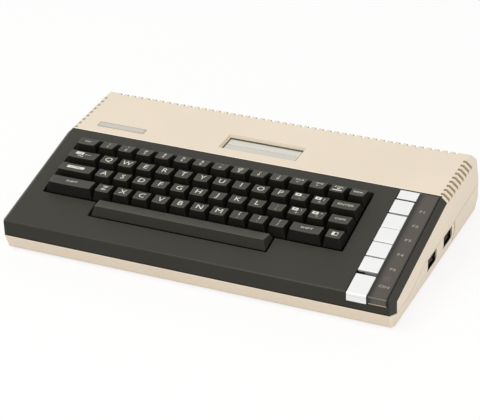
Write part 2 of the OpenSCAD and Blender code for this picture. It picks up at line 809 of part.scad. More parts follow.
module cap_form(foot_w, foot_d, rise, lean0, lean1, tilt, e) {
    extra = e > 0 ? e + 1 : 0;
    intersection() {
        along_x(-foot_w, foot_w) polygon(inset(cap_side(foot_d, rise, lean0, lean1, tilt, extra), e));
        along_y(-foot_d, foot_d) polygon(inset(cap_front(foot_w, rise, cap_lean, extra), e));
    }
}
module keycap(units, rise, tilt, lean0, lean1, stems) {
    foot_w = units * key_pitch - key_gap;
    foot_d = row_pitch - key_gap;
    top_w = foot_w - 2 * cap_lean;
    dish_r = top_w * top_w / 8 / cap_dish + cap_dish / 2;
    difference() {
        union() {
            difference() {
                cap_form(foot_w, foot_d, rise, lean0, lean1, tilt, 0);
                cap_form(foot_w, foot_d, rise, lean0, lean1, tilt, cap_wall);
            }
            for (x = stems) translate([x, 0, 0])
                box([-stem_w / 2, -stem_w / 2, stem_low], [stem_w / 2, stem_w / 2, rise - 0.1]);
        }
        translate([0, (lean0 - lean1) / 2, rise]) rotate([tilt, 0, 0]) {
            box([-foot_w, -foot_d, 0], [foot_w, foot_d, 9]);
            if (units < dish_limit) translate([0, 0, dish_r - cap_dish]) rotate([90, 0, 0])
                cylinder(r = dish_r, h = 2 * foot_d, center = true, $fn = 128);
        }
    }
}
module keys(r, first, last) {
    color(key_grey) in_case() on_deck() for (i = [first : last])
        translate([key_mid(r, i), row_mid(r), 0])
            keycap(row_units[r][i], row_rise[r], row_tilt[r], cap_front_lean, cap_back_lean, [0]);
}
module cursor_keys() { keys(1, 11, 12); keys(2, 11, 12); }
module space_bar() {
    color(key_grey) in_case() on_deck() translate([(bar_x0 + bar_x1) / 2, bar_mid, 0])
        keycap(bar_units, bar_rise, bar_tilt, bar_front_lean, bar_back_lean, bar_stems * bar_units * key_pitch);
}

// Calls its child at each plunger
module at_stems() {
    for (r = [0 : row_count - 1], i = [0 : len(row_units[r]) - 1])
        translate([key_mid(r, i), row_mid(r), 0]) children();
    for (k = bar_stems)
        translate([(bar_x0 + bar_x1) / 2 + k * bar_units * key_pitch, bar_mid, 0]) children();
}
module keyboard_plate() {
    hole = stem_w / 2 + stem_clear;
    guide = hole + guide_wall;
    post = 2.5;
    color(black) in_case() on_deck() difference() {
        union() {
            box([plate_x0, plate_s0, plate_low], [plate_x1, plate_s1, plate_top]);
            at_stems() box([-guide, -guide, guide_low], [guide, guide, plate_low + eps]);
            // edge posts down to the circuit board
            for (x = [plate_x0 + post, (plate_x0 + plate_x1) / 2 - 2, plate_x1 - post], s = [plate_s0 + post, plate_s1 - post])
                translate([x, s, circuit_top]) cylinder(r = 2, h = plate_low - circuit_top + eps, $fn = 32);
        }
        at_stems() box([-hole, -hole, guide_low - 1], [hole, hole, plate_top + 1]);
    }
}
module keyboard_circuit() {
    color(board_green) in_case() on_deck()
        box([plate_x0, plate_s0, circuit_low], [plate_x1, plate_s1, circuit_top]);
}
module keyboard_ribbon() {
    color([0.75, 0.72, 0.62]) in_case() difference() {
        box([-30, main_front + 8, main_top], [30, main_front + 8.6, deck_rear_h]);
        on_deck() box([-half, -10, circuit_low], [half, deck_len, 60]);
    }
}
module key_springs() {
    coil_r = stem_w * 0.72 + 0.6;
    free = 2.2;
    color(steel) in_case() on_deck() at_stems() difference() {
        translate([0, 0, plate_top]) cylinder(r = coil_r, h = free - plate_top, $fn = 32);
        translate([0, 0, plate_top - 1]) cylinder(r = coil_r - 0.5, h = free - plate_top + 2, $fn = 32);
    }
}

// Console column

module console_key(k) {
    s0 = console_start + (console_count - k) * console_pitch + console_gaps[k] / 2;
    s1 = console_start + (console_count - k + 1) * console_pitch - console_gaps[k - 1] / 2;
    bevel = 0.25;
    color(silver) in_case() on_deck() {
        intersection() {
            box([console_x0, s0, flange_top - flange_t], [console_x1, s1, console_rise]);
            along_x(console_x0, console_x1) polygon([
                [s0, -20], [s1, -20], [s1, console_rise - bevel], [s1 - bevel, console_rise],
                [s0 + bevel, console_rise], [s0, console_rise - bevel]
            ]);
        }
        box([console_x0 - flange_w - column_edge, s0 + 2, flange_top - flange_t],
            [console_x1 + flange_w + column_edge, s1 - 2, flange_top]);
        box([console_mid - 3, (s0 + s1) / 2 - 3, console_stem_low],
            [console_mid + 3, (s0 + s1) / 2 + 3, flange_top - flange_t + eps]);
    }
}
module console_board() {
    color(board_green) in_case() on_deck() {
        box([console_x0 - 8, console_slot_s0 - 3, console_board_low], [console_x1 + 8, console_slot_s1 + 3, console_board_top]);
        for (k = [1 : console_count])
            translate([console_mid, console_start + (k - 0.5) * console_pitch, console_board_top]) {
                box([-3, -3, 0], [3, 3, button_h - 1]);
                cylinder(r = 1.7, h = button_h, $fn = 32);
            }
    }
}

// Cartridge slot

// One door as it lies at the front of the slot, hinged along its front edge
module door() {
    reach = slot_w / 2 - door_clear;
    rotate([0, 90, 0]) cylinder(r = hinge_r, h = 2 * reach, center = true, $fn = 32);
    rotate([0, 90, 0]) cylinder(r = pin_r, h = slot_w + 2 * chute_wall - 0.6, center = true, $fn = 32);
    box([-reach, 0, hinge_r - door_t], [reach, door_reach, hinge_r]);
}
module door_front() {
    color(steel) in_case() on_rear() translate([0, slot_t0 + chute_gap, door_n]) door();
}
module door_rear() {
    color(steel) in_case() on_rear() translate([0, slot_t1 - chute_gap, door_n]) mirror([0, 1, 0]) door();
}
module cartridge_socket() {
    blade = 2.2;
    color(black) in_case() translate([0, socket_y, main_top]) difference() {
        union() {
            box([-socket_w / 2, -socket_d / 2, 0], [socket_w / 2, socket_d / 2, socket_h]);
            box([-socket_w / 2 - 4, -3, 0], [socket_w / 2 + 4, 3, 5]);
        }
        box([4 - socket_w / 2, -blade / 2, 4], [socket_w / 2 - 4, blade / 2, socket_h + 1]);
    }
}

// Electronics

module lower_shield() {
    rim = main_w / 2 - 4;
    color(steel) in_case() difference() {
        box([-rim, main_front + 3, shield_low], [rim, main_rear - 3, main_z]);
        box([-rim + sheet_t, main_front + 3 + sheet_t, shield_low + sheet_t],
            [rim - sheet_t, main_rear - 3 - sheet_t, main_z + 1]);
    }
}
module main_board() {
    color(board_green) in_case() box([-main_w / 2, main_front, main_z], [main_w / 2, main_rear, main_top]);
}
// Packages: x as a share of the shield's half width, distance in front of the cartridge socket, length
chips = [
    [-0.81, 67.5, 52], [-0.39, 67.5, 52], [0.03, 67.5, 52], [0.45, 67.5, 52],
    [-0.82, 41.5, 36], [-0.51, 41.5, 36], [-0.2, 41.5, 52], [0.23, 41.5, 36], [0.54, 41.5, 32]
];
chip_w = 14;
chip_h = 4;
memory_count = 8;
memory_w = 6.8;
memory_l = 19.2;
memory_y = socket_y - 13.5;
capacitor_r = 5;
capacitor_h = 11;
module main_chips() {
    color(black) in_case() translate([0, 0, main_top]) {
        for (c = chips) translate([c[0] * shield_half, socket_y - c[1], 0])
            box([0, -chip_w / 2, 0], [c[2], chip_w / 2, chip_h]);
        for (i = [0 : memory_count - 1]) translate([(0.074 * i - 0.89) * shield_half, memory_y, 0])
            box([0, -memory_l / 2, 0], [memory_w, memory_l / 2, chip_h]);
        for (k = [0.38, 0.57, 0.76]) translate([k * shield_half, memory_y, 0])
            cylinder(r = capacitor_r, h = capacitor_h, $fn = 32);
    }
}
module upper_shield() {
    color(steel) in_case() difference() {
        box([-shield_half, shield_y0, main_top], [shield_half, shield_y1, shield_top]);
        box([sheet_t - shield_half, shield_y0 + sheet_t, main_top - 1],
            [shield_half - sheet_t, shield_y1 - sheet_t, shield_top - sheet_t]);
        translate([0, socket_y, 0])
            box([-socket_w / 2 - 5, -socket_d / 2 - 1, main_top + 6], [socket_w / 2 + 5, socket_d / 2 + 1, shield_top + 1]);
    }
}
module modulator_can() {
    color(steel) in_case() difference() {
        box([channel_x - 42, modulator_y0, main_top], [channel_x + 8, modulator_y1, main_top + modulator_h]);
        box([channel_x - 42 + sheet_t, modulator_y0 + sheet_t, main_top - 1],
            [channel_x + 8 - sheet_t, modulator_y1 - sheet_t, main_top + modulator_h - sheet_t]);
    }
}

module contacts(rows, x0, x1) {
    for (r = [0 : len(rows) - 1], i = [0 : rows[r] - 1])
        translate([x0, (i - (rows[r] - 1) / 2) * contact_pitch, (0.5 - r) * 2.84]) rotate([0, 90, 0])
            cylinder(r = contact_r, h = x1 - x0, $fn = 24);
}
port_face = half - port_recess;
module game_ports() {
    color(black) in_case() for (y = [port_front, port_rear]) translate([port_face, y, port_z]) difference() {
        box([-port_body_l, -port_body_w / 2, main_top - port_z], [0, port_body_w / 2, port_body_h / 2]);
        along_x(-pocket_d, 1) polygon([
            [-pocket_w / 2 + 1, -pocket_h / 2], [pocket_w / 2 - 1, -pocket_h / 2],
            [pocket_w / 2, pocket_h / 2], [-pocket_w / 2, pocket_h / 2]
        ]);
    }
}
module port_pins() {
    color([0.85, 0.72, 0.40]) in_case() for (y = [port_front, port_rear])
        translate([port_face, y, port_z]) contacts([5, 4], -pocket_d, -0.6);
}

// Rear connectors: each stands on the main board behind its hole
module rear_body(x, w, top) {
    box([x - w / 2, rear_face - rear_body_d, main_top], [x + w / 2, rear_face, top]);
}
module serial_port() {
    color(black) in_case() difference() {
        rear_body(serial_x, serial_w, rear_z + 6);
        along_y(rear_face - pocket_d, rear_face + 1) translate([serial_x, rear_z]) polygon([
            [-13, -4], [13, -4], [15, 4], [-15, 4]
        ]);
        for (i = [0 : 12]) translate([serial_x + (i - 6) * 2 , rear_face - 12, rear_z + (i % 2 == 0 ? -1.6 : 1.6)])
            rotate([-90, 0, 0]) cylinder(r = contact_r, h = 8, $fn = 16);
    }
}
module bus_connector() {
    color(black) in_case() difference() {
        rear_body(bus_x, bus_w, rear_z + port_h / 2 - 0.5);
        box([bus_x - bus_w / 2 + 4, rear_face - 10, rear_z - 2], [bus_x + bus_w / 2 - 4, rear_face + 1, rear_z + 2]);
    }
}
module din_socket(x, holes) {
    color(black) in_case() difference() {
        union() {
            rear_body(x, 2 * din_r + 2, rear_z + 5);
            translate([x, rear_face - rear_body_d, rear_z]) rotate([-90, 0, 0])
                cylinder(r = din_r, h = rear_body_d, $fn = 64);
        }
        translate([x, rear_face - 1, rear_z]) rotate([-90, 0, 0]) difference() {
            cylinder(r = din_r - 0.6, h = 3, $fn = 64);
            cylinder(r = din_r - 1.6, h = 3, $fn = 64);
        }
        for (i = [0 : holes - 1]) rotate_about(x, 180 * i / (holes - 1))
            translate([4, -9, 0]) rotate([-90, 0, 0]) cylinder(r = 0.9, h = 10, $fn = 24);
    }
}
module rotate_about(x, a) {
    translate([x, rear_face, rear_z]) rotate([0, a, 0]) children();
}
module monitor_socket() { din_socket(monitor_x, 5); }
module power_socket() { din_socket(power_x, 7); }
module aerial_jack() {
    color(steel) in_case() difference() {
        union() {
            rear_body(aerial_x, 12, rear_z + 5);
            translate([aerial_x, rear_face - 3, rear_z]) rotate([-90, 0, 0])
                cylinder(r = jack_r, h = port_recess + 2, $fn = 48);
        }
        translate([aerial_x, rear_face - 8, rear_z]) rotate([-90, 0, 0]) cylinder(r = jack_r - 2.2, h = 20, $fn = 32);
    }
}
module channel_switch() {
    color(steel) in_case() difference() {
        box([channel_x - 9, rear_face - 9, main_top], [channel_x + 9, rear_stop, rear_z + 4]);
        box([channel_x - 1.6 - slider_travel / 2, rear_face - 4, rear_z - 1.6],
            [channel_x + 1.6 + slider_travel / 2, rear_face + 5, rear_z + 1.6]);
    }
}
module channel_slider() {
    knob = 1.3;
    color(black) in_case() translate([channel_x - slider_travel / 2, 0, rear_z]) {
        box([-knob, rear_face - 3.7, -knob], [knob, rear_face + 4.5, knob]);
    }
}
rocker_y = rear_face + 1;
module power_switch() {
    lip = 1.2;
    color(black) in_case() difference() {
        union() {
            box([switch_x - switch_w / 2, rear_face - rear_body_d, main_top],
                [switch_x + switch_w / 2, rear_stop, rear_z + switch_h / 2]);
            box([switch_x - switch_w / 2, rear_stop - eps, rear_z - switch_h / 2],
                [switch_x + switch_w / 2, rear_face + 3.5, rear_z + switch_h / 2]);
        }
        box([switch_x - switch_w / 2 + lip, rear_face - 6, rear_z - switch_h / 2 + lip],
            [switch_x + switch_w / 2 - lip, rear_face + 9, rear_z + switch_h / 2 - lip]);
        translate([switch_x, rocker_y, rear_z]) cylinder(r = pin_r + pin_clear, h = switch_h - 0.8, center = true, $fn = 32);
    }
}
// Rocker, drawn level and then tipped to its off position; it turns on an upright pin
module power_rocker() {
    w = switch_w / 2 - 2;
    h = switch_h / 2 - 1.7;
    color(black) in_case() translate([switch_x, rocker_y, rear_z]) rotate([0, 0, -rocker_swing / 2]) {
        translate([0, 0, -h]) linear_extrude(2 * h) polygon([
            [-2.6, -2.6], [2.6, -2.6], [w, 1], [w, 3.2], [0, 2.2], [-w, 3.2], [-w, 1]
        ]);
        cylinder(r = pin_r, h = switch_h - 1.2, center = true, $fn = 32);
    }
}

lower_shell();
upper_shell();
side_panel();
rear_panels();
keyboard_bezel();
label_strip();
console_trims();
name_plate();
power_led();
feet();
case_screws();
lower_shield();
upper_shield();
main_board();
main_chips();
modulator_can();
cartridge_socket();
keyboard_plate();
keyboard_circuit();
keyboard_ribbon();
key_springs();
console_board();
game_ports();
port_pins();
serial_port();
bus_connector();
monitor_socket();
aerial_jack();
power_socket();
channel_switch();
power_switch();
keys(0, 0, 0);  // key_escape
keys(0, 1, 5);  // digit_keys_left
keys(0, 6, 10);  // digit_keys_right
keys(0, 11, 13);  // edit_keys
keys(0, 14, 14);  // key_break
keys(1, 0, 0);  // key_tab
keys(1, 1, 5);  // upper_letters_left
keys(1, 6, 10);  // upper_letters_right
keys(1, 13, 13);  // key_enter
keys(2, 0, 0);  // key_control
keys(2, 1, 5);  // home_letters_left
keys(2, 6, 10);  // home_letters_right
keys(2, 13, 13);  // key_caps
keys(3, 0, 0);  // key_shift_left
keys(3, 1, 5);  // lower_letters_left
keys(3, 6, 10);  // lower_letters_right
keys(3, 11, 11);  // key_shift_right
keys(3, 12, 12);  // key_inverse
cursor_keys();
space_bar();
console_key(1);  // console_key_1
console_key(2);  // console_key_2
console_key(3);  // console_key_3
console_key(4);  // console_key_4
console_key(5);  // console_key_5
door_front();
door_rear();
power_rocker();
channel_slider();
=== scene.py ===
import math
import bpy
from mathutils import Matrix, Vector


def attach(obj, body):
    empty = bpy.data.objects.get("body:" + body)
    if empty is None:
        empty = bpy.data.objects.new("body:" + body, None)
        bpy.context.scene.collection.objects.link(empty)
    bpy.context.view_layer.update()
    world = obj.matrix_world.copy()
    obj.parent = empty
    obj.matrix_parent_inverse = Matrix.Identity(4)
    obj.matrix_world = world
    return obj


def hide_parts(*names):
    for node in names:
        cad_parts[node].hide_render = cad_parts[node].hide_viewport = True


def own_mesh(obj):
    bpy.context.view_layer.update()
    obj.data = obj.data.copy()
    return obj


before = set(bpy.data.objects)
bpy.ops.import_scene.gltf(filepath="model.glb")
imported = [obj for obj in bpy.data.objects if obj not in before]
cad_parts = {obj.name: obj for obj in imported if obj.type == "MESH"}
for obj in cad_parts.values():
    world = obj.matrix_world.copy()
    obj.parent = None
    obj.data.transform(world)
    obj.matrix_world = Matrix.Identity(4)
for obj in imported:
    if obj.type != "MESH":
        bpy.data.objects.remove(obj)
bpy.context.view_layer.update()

# Looks of a wedge-shaped home computer. Lengths below are in millimetres unless a note says metres.

mm = 0.001
scene = bpy.context.scene

caseSize = {
    "width": 378.0, "depth": 223.0, "footHeight": 2.0, "rearHeight": 60.8, "rearLean": 10.5,
    "deckFront": 29.3, "deckRear": 58.6, "deckDepth": 132.2,
}
slope = math.atan2(caseSize["deckRear"] - caseSize["deckFront"], caseSize["deckDepth"])
rearSlope = math.atan2(caseSize["rearHeight"] - caseSize["deckRear"],
                       caseSize["depth"] - caseSize["rearLean"] - caseSize["deckDepth"])
deckLength = caseSize["deckDepth"] / math.cos(slope)

# frames in which pieces are drawn: the case from its front underside, the deck up its slope, the flat rear top
caseFrame = Matrix.Translation((0, -caseSize["depth"] / 2, caseSize["footHeight"]))
deckFrame = caseFrame @ Matrix.Translation((0, 0, caseSize["deckFront"])) @ Matrix.Rotation(slope, 4, "X")
rearFrame = (caseFrame @ Matrix.Translation((0, caseSize["deckDepth"], caseSize["deckRear"]))
             @ Matrix.Rotation(rearSlope, 4, "X"))


def addObject(name, data):
    item = bpy.data.objects.new(name, data)
    scene.collection.objects.link(item)
    return item


# Shader nodes

def feed(tree, node, inputs):
    # inputs gives the constants of the node's sockets, or the outputs that lead to them
    for socket, value in inputs.items():
        if isinstance(value, bpy.types.NodeSocket):
            tree.links.new(value, node.inputs[socket])
        else:
            node.inputs[socket].default_value = value
    return node


def addNode(tree, kind, inputs=None):
    return feed(tree, tree.nodes.new("ShaderNode" + kind), inputs or {})


# Camera and light

cameraSettings = {
    "place": (0.6501, -1.3737, 0.8891),
    "forward": (-0.37234555, 0.78440693, -0.49604895),
    "right": (0.91062808, 0.41198068, -0.03206903),
    "lens": 143.97, "sensor": 36.0,
}


def addCamera(settings):
    data = bpy.data.cameras.new("photoCamera")
    data.sensor_width = settings["sensor"]
    data.sensor_fit = "HORIZONTAL"
    data.lens = settings["lens"]
    data.clip_start = 0.01
    camera = addObject("photoCamera", data)
    right = Vector(settings["right"]).normalized()
    back = -Vector(settings["forward"]).normalized()
    up = back.cross(right)
    turn = Matrix((right, up, back)).transposed().to_4x4()
    camera.matrix_world = Matrix.Translation(settings["place"]) @ turn
    scene.camera = camera


studio = {
    "worldColour": (1.0, 0.985, 0.965, 1), "worldStrength": 0.72,
    "floorShade": 0.96, "floorShadowShare": 0.22, "floorSize": 8.0,
    "lamps": [("keyLight", (-0.9, -0.8, 1.9), 1.6, 16.0), ("fillLight", (1.6, -1.4, 1.3), 1.6, 11.0)],
}


def backgroundRays(tree):
    # 1 for what the camera sees straight, in a gloss or through glass
    path = addNode(tree, "LightPath").outputs
    seen = path["Is Camera Ray"]
    for ray in ("Is Glossy Ray", "Is Transmission Ray"):
        either = addNode(tree, "Math", {0: seen, 1: path[ray]})
        either.operation = "MAXIMUM"
        seen = either.outputs[0]
    return seen


def addWorld(settings):
    world = bpy.data.worlds.new("studioWorld")
    scene.world = world
    world.use_nodes = True
    tree = world.node_tree
    tree.nodes.clear()
    light = addNode(tree, "Background", {"Color": settings["worldColour"], "Strength": settings["worldStrength"]})
    seen = addNode(tree, "Background", {"Color": (1, 1, 1, 1), "Strength": 1})
    mix = addNode(tree, "MixShader", {0: backgroundRays(tree), 1: light.outputs[0], 2: seen.outputs[0]})
    addNode(tree, "OutputWorld", {"Surface": mix.outputs[0]})


def addFloor(settings):
    size = settings["floorSize"] / 2
    mesh = bpy.data.meshes.new("studioFloor")
    mesh.from_pydata([(-size, -size, 0), (size, -size, 0), (size, size, 0), (-size, size, 0)], [], [(0, 1, 2, 3)])
    floor = addObject("studioFloor", mesh)
    material = bpy.data.materials.new("paleFloor")
    material.use_nodes = True
    tree = material.node_tree
    tree.nodes.clear()
    shade = settings["floorShade"]
    paper = addNode(tree, "BsdfDiffuse", {"Color": (shade, shade, shade, 1)})
    glow = addNode(tree, "Emission", {"Color": (1, 1, 1, 1), "Strength": 1})
    # the camera sees part paper, which keeps the shadow, and part plain white
    share = addNode(tree, "Math", {0: backgroundRays(tree), 1: 1 - settings["floorShadowShare"]})
    share.operation = "MULTIPLY"
    mix = addNode(tree, "MixShader", {0: share.outputs[0], 1: paper.outputs[0], 2: glow.outputs[0]})
    addNode(tree, "OutputMaterial", {"Surface": mix.outputs[0]})
    mesh.materials.append(material)


def addSoftbox(name, place, size, power):
    data = bpy.data.lights.new(name, "AREA")
    data.shape = "SQUARE"
    data.size = size
    data.energy = power
    lamp = addObject(name, data)
    aim = Vector((0, 0, 0.03)) - Vector(place)
    lamp.location = place
    lamp.rotation_euler = aim.to_track_quat("-Z", "Y").to_euler()


scene.view_settings.view_transform = "Standard"
addCamera(cameraSettings)
addWorld(studio)
addFloor(studio)
for lamp in studio["lamps"]:
    addSoftbox(*lamp)
print("camera and studio done")


# Finishes

def paint(red, green, blue):
    def linear(value):
        value /= 255
        return value / 12.92 if value <= 0.04045 else ((value + 0.055) / 1.055) ** 2.4
    return (linear(red), linear(green), linear(blue), 1.0)


def shaded(colour, factor):
    return tuple(min(1.0, c * factor) for c in colour[:3]) + (1.0,)


def newFinish(name):
    material = bpy.data.materials.new(name)
    material.use_nodes = True
    tree = material.node_tree
    return material, tree, tree.nodes["Principled BSDF"], addNode(tree, "TexCoord").outputs["Object"]


def addNoise(tree, source, size, detail=3.0, stretch=None):
    # size is the width of one grain; stretch draws the grains out along x, y, z
    if stretch:
        source = addNode(tree, "Mapping", {"Scale": stretch, "Vector": source}).outputs["Vector"]
    return addNode(tree, "TexNoise", {"Scale": 1 / (size * mm), "Detail": detail, "Vector": source}).outputs["Fac"]


def addRamp(tree, factor, stops):
    ramp = addNode(tree, "ValToRGB", {"Fac": factor})
    elements = ramp.color_ramp.elements
    elements[0].position, elements[0].color = stops[0]
    elements[1].position, elements[1].color = stops[-1]
    for place, colour in stops[1:-1]:
        elements.new(place).color = colour
    return ramp.outputs["Color"]


def addRange(tree, value, low, high):
    return addNode(tree, "MapRange", {
        "From Min": 0.3, "From Max": 0.7, "To Min": low, "To Max": high, "Value": value}).outputs["Result"]


def addBump(tree, height, depth, strength=1.0):
    return addNode(tree, "Bump", {"Strength": strength, "Distance": depth * mm, "Height": height}).outputs["Normal"]


def mouldedPlastic(name, look):
    material, tree, shader, source = newFinish(name)
    cloud = addNoise(tree, source, look["cloud"])
    grain = addNoise(tree, source, look["grain"], detail=2.0)
    base, drift = look["colour"], look["drift"]
    tone = addRamp(tree, cloud, [(0.32, shaded(base, 1 - drift)), (0.68, shaded(base, 1 + drift))])
    if "paintedLight" in look:
        # the second colour is painted light and shade, shown where the mesh's attribute is high: lit key tops,
        # highlights on rounded edges, and shade along the smoked strip's long sides
        paintedLightMask = addNode(tree, "Attribute")
        paintedLightMask.attribute_name = "paintedLightShare"
        mix = addNode(tree, "Mix")
        mix.data_type = "RGBA"
        feed(tree, mix, {"Factor": paintedLightMask.outputs["Fac"], 6: tone, 7: look["paintedLight"]})
        tone = mix.outputs[2]
    feed(tree, shader, {
        "Base Color": tone, "Roughness": addRange(tree, grain, *look["roughness"]),
        "Specular IOR Level": look["specular"], "Coat Weight": look.get("coat", 0.0),
        "Coat Roughness": look.get("coatRoughness", 0.1), "Metallic": look.get("metal", 0.0),
        "Normal": addBump(tree, grain, look["depth"]),
    })
    return material


def brushedMetal(name, look):
    material, tree, shader, source = newFinish(name)
    streaks = addNoise(tree, source, look["streak"], detail=4.0, stretch=look["along"])
    cloud = addNoise(tree, source, look["cloud"])
    base, drift = look["colour"], look["drift"]
    stops = [(0.3, shaded(base, 1 - drift)), (0.5, base), (0.7, shaded(base, 1 + drift))]
    feed(tree, shader, {
        "Base Color": addRamp(tree, streaks, stops), "Roughness": addRange(tree, cloud, *look["roughness"]),
        "Metallic": look["metal"], "Normal": addBump(tree, streaks, look["depth"]),
    })
    return material


def boardFinish(name, look):
    material, tree, shader, source = newFinish(name)
    tracks = addNode(tree, "TexVoronoi", {"Scale": 1 / (look["track"] * mm), "Vector": source})
    tracks.feature = "DISTANCE_TO_EDGE"
    distance = tracks.outputs["Distance"]
    stops = [(0.0, look["copper"]), (0.06, look["copper"]), (0.09, look["mask"])]
    feed(tree, shader, {
        "Base Color": addRamp(tree, distance, stops),
        "Roughness": addRange(tree, addNoise(tree, source, look["grain"]), *look["roughness"]),
        "Normal": addBump(tree, distance, look["depth"], look["relief"]),
    })
    return material


# drift, cloud, grain and depth: change of colour, size of its patches, size of the grain, depth of its relief
creamLook = {"drift": 0.018, "cloud": 90, "grain": 0.55, "depth": 0.012, "roughness": (0.46, 0.6), "specular": 0.35}
creamTrim = {**creamLook, "cloud": 60, "depth": 0.006}
charcoalLook = {"drift": 0.05, "cloud": 70, "grain": 0.5, "depth": 0.014, "roughness": (0.42, 0.56), "specular": 0.2}
smokedLook = {"drift": 0.03, "cloud": 60, "grain": 0.8, "depth": 0.0006, "roughness": (0.24, 0.3), "specular": 0.3}
ventFloorShadeLook = {"drift": 0.06, "cloud": 6, "grain": 0.4, "depth": 0.02, "roughness": (0.8, 0.95), "specular": 0.1}
shadedWallLook = {"drift": 0.04, "cloud": 8, "grain": 0.5, "depth": 0.01, "roughness": (0.6, 0.75), "specular": 0.2}
silverLook = {
    "drift": 0.012, "cloud": 25, "grain": 0.25, "depth": 0.006, "roughness": (0.3, 0.42), "specular": 0.5,
    "metal": 0.55,
}
blackLook = {"drift": 0.08, "cloud": 20, "grain": 0.4, "depth": 0.008, "roughness": (0.35, 0.5), "specular": 0.4}
inkLook = {"drift": 0.04, "cloud": 3, "grain": 0.2, "depth": 0.004, "roughness": (0.5, 0.65), "specular": 0.3}
shadowLook = {"drift": 0.05, "cloud": 20, "grain": 0.5, "depth": 0.004, "roughness": (0.6, 0.75), "specular": 0.15}
doorLook = {
    "drift": 0.1, "streak": 0.5, "along": (0.015, 1, 1), "cloud": 12, "roughness": (0.3, 0.42), "metal": 0.6,
    "depth": 0.012,
}

# material name, look, colour, and what differs from the look
plastics = {
    "cream": ("creamPlastic", creamLook, (230, 217, 198), {}),
    # painted shade: a darker copy of the cream for the front faces
    "creamFrontShade": ("creamFrontShadedPlastic", creamLook, (222, 208, 189), {}),
    # painted highlight: a lit lip on the cream top behind the rear rim
    "creamHighlight": ("creamRimHighlightPlastic", creamTrim, (250, 239, 220), {"drift": 0.01}),
    # painted highlight and painted shade: a lit lip below the front seam, and a shaded line at the foot
    "creamLipHighlight": ("creamLipHighlightPlastic", creamTrim, (239, 226, 207), {}),
    "creamFootShade": ("creamFootShadedPlastic", creamTrim, (206, 197, 178), {}),
    "lipCream": ("lipPlastic", creamLook, (170, 154, 126), {
        "drift": 0.04, "cloud": 8, "grain": 0.6, "depth": 0.004, "roughness": (0.45, 0.6), "specular": 0.3}),
    "charcoal": ("charcoalPlastic", charcoalLook, (55, 54, 48), {}),
    # painted shade: a darker copy of the charcoal for the front faces
    "charcoalFrontShade": ("charcoalFrontShadedPlastic", charcoalLook, (45, 44, 38), {}),
    # painted highlight: the deck's front edge, lighter towards the right
    "charcoalEdgeHighlight": ("charcoalEdgeHighlightPlastic", charcoalLook, (56, 55, 49), {"depth": 0.008, "paintedLight": paint(72, 71, 64)}),
    # key caps: a dark base colour, with a lighter second colour painted on as light: lit tops and highlights along the
    # top edges
    "keyTop": ("keyPlastic", charcoalLook, (22, 21, 17), {
        "drift": 0.08, "cloud": 14, "grain": 0.35, "depth": 0.012, "specular": 0.14, "paintedLight": paint(94, 93, 85)}),
    # the smoked strip: its second colour is painted shade for its long sides; the next finish is a painted highlight
    # for its front bend
    "smoked": ("smokedPlastic", smokedLook, (76, 71, 62), {
        "coat": 0.25, "coatRoughness": 0.12, "paintedLight": paint(26, 26, 22)}),
    "smokedHighlight": ("smokedEdgeHighlight", smokedLook, (112, 106, 95), {"drift": 0.05, "cloud": 8, "depth": 0.001}),
    # painted shade: the floors and walls inside the vent slots, paler on the left side and at the rear
    "filter": ("ventFloorShadedPlastic", ventFloorShadeLook, (158, 142, 114), {}),
    "filterPale": ("ventFloorShadedPalePlastic", ventFloorShadeLook, (184, 178, 158), {}),
    "ventWallShade": ("ventWallShadedPlastic", shadedWallLook, (192, 176, 147), {}),
    "ventWallShadePale": ("ventWallShadedPalePlastic", shadedWallLook, (200, 192, 174), {}),
    # painted shade: the cartridge slot's walls and the dark faces by its hinges
    "slotWallShade": ("slotWallShadedPlastic", shadedWallLook, (218, 207, 187), {
        "drift": 0.02, "cloud": 30, "roughness": (0.5, 0.65), "specular": 0.3}),
    "slotShade": ("slotShadow", shadowLook, (92, 82, 63), {
        "drift": 0.06, "grain": 0.4, "depth": 0.008, "roughness": (0.55, 0.7), "specular": 0.1}),
    "parting": ("partingShadow", shadowLook, (38, 29, 17), {}),
    "seamBrown": ("seamShadow", shadowLook, (184, 148, 110), {"cloud": 10, "specular": 0.2}),
    "silver": ("silverPlastic", silverLook, (236, 237, 236), {}),
    # painted shade: a darker band below the silver trim's bend
    "silverFoldShade": ("silverFoldShadedPlastic", silverLook, (224, 224, 223), {}),
    "black": ("blackPlastic", blackLook, (26, 26, 26), {}),
    "pitch": ("deepBlack", blackLook, (12, 12, 11), {"roughness": (0.55, 0.7), "specular": 0.1}),
    "chip": ("chipPlastic", blackLook, (34, 34, 35), {
        "cloud": 12, "grain": 0.3, "depth": 0.01, "roughness": (0.5, 0.65)}),
    "rubber": ("footRubber", blackLook, (34, 33, 32), {
        "drift": 0.1, "cloud": 8, "grain": 0.5, "depth": 0.03, "roughness": (0.7, 0.85), "specular": 0.25}),
    "ribbon": ("ribbonPlastic", blackLook, (200, 196, 176), {
        "drift": 0.05, "cloud": 10, "grain": 0.6, "depth": 0.01}),
    "pin": ("dullPin", blackLook, (124, 118, 96), {
        "drift": 0.06, "cloud": 2, "grain": 0.2, "depth": 0.004, "specular": 0.5, "metal": 0.4}),
    "lens": ("redLens", blackLook, (78, 60, 56), {
        "drift": 0.06, "cloud": 2, "grain": 0.3, "depth": 0.002, "roughness": (0.12, 0.22), "specular": 0.5,
        "coat": 0.5, "coatRoughness": 0.05}),
    "ink": ("legendInk", inkLook, (222, 219, 210), {}),
    "inkDim": ("legendInkDim", inkLook, (176, 172, 162), {"depth": 0.002}),
    "inkDark": ("legendInkDark", inkLook, (40, 38, 35), {"drift": 0.05}),
    "plateLine": ("plateLine", inkLook, (140, 136, 128), {
        "cloud": 4, "grain": 0.3, "depth": 0.003, "roughness": (0.4, 0.55)}),
}
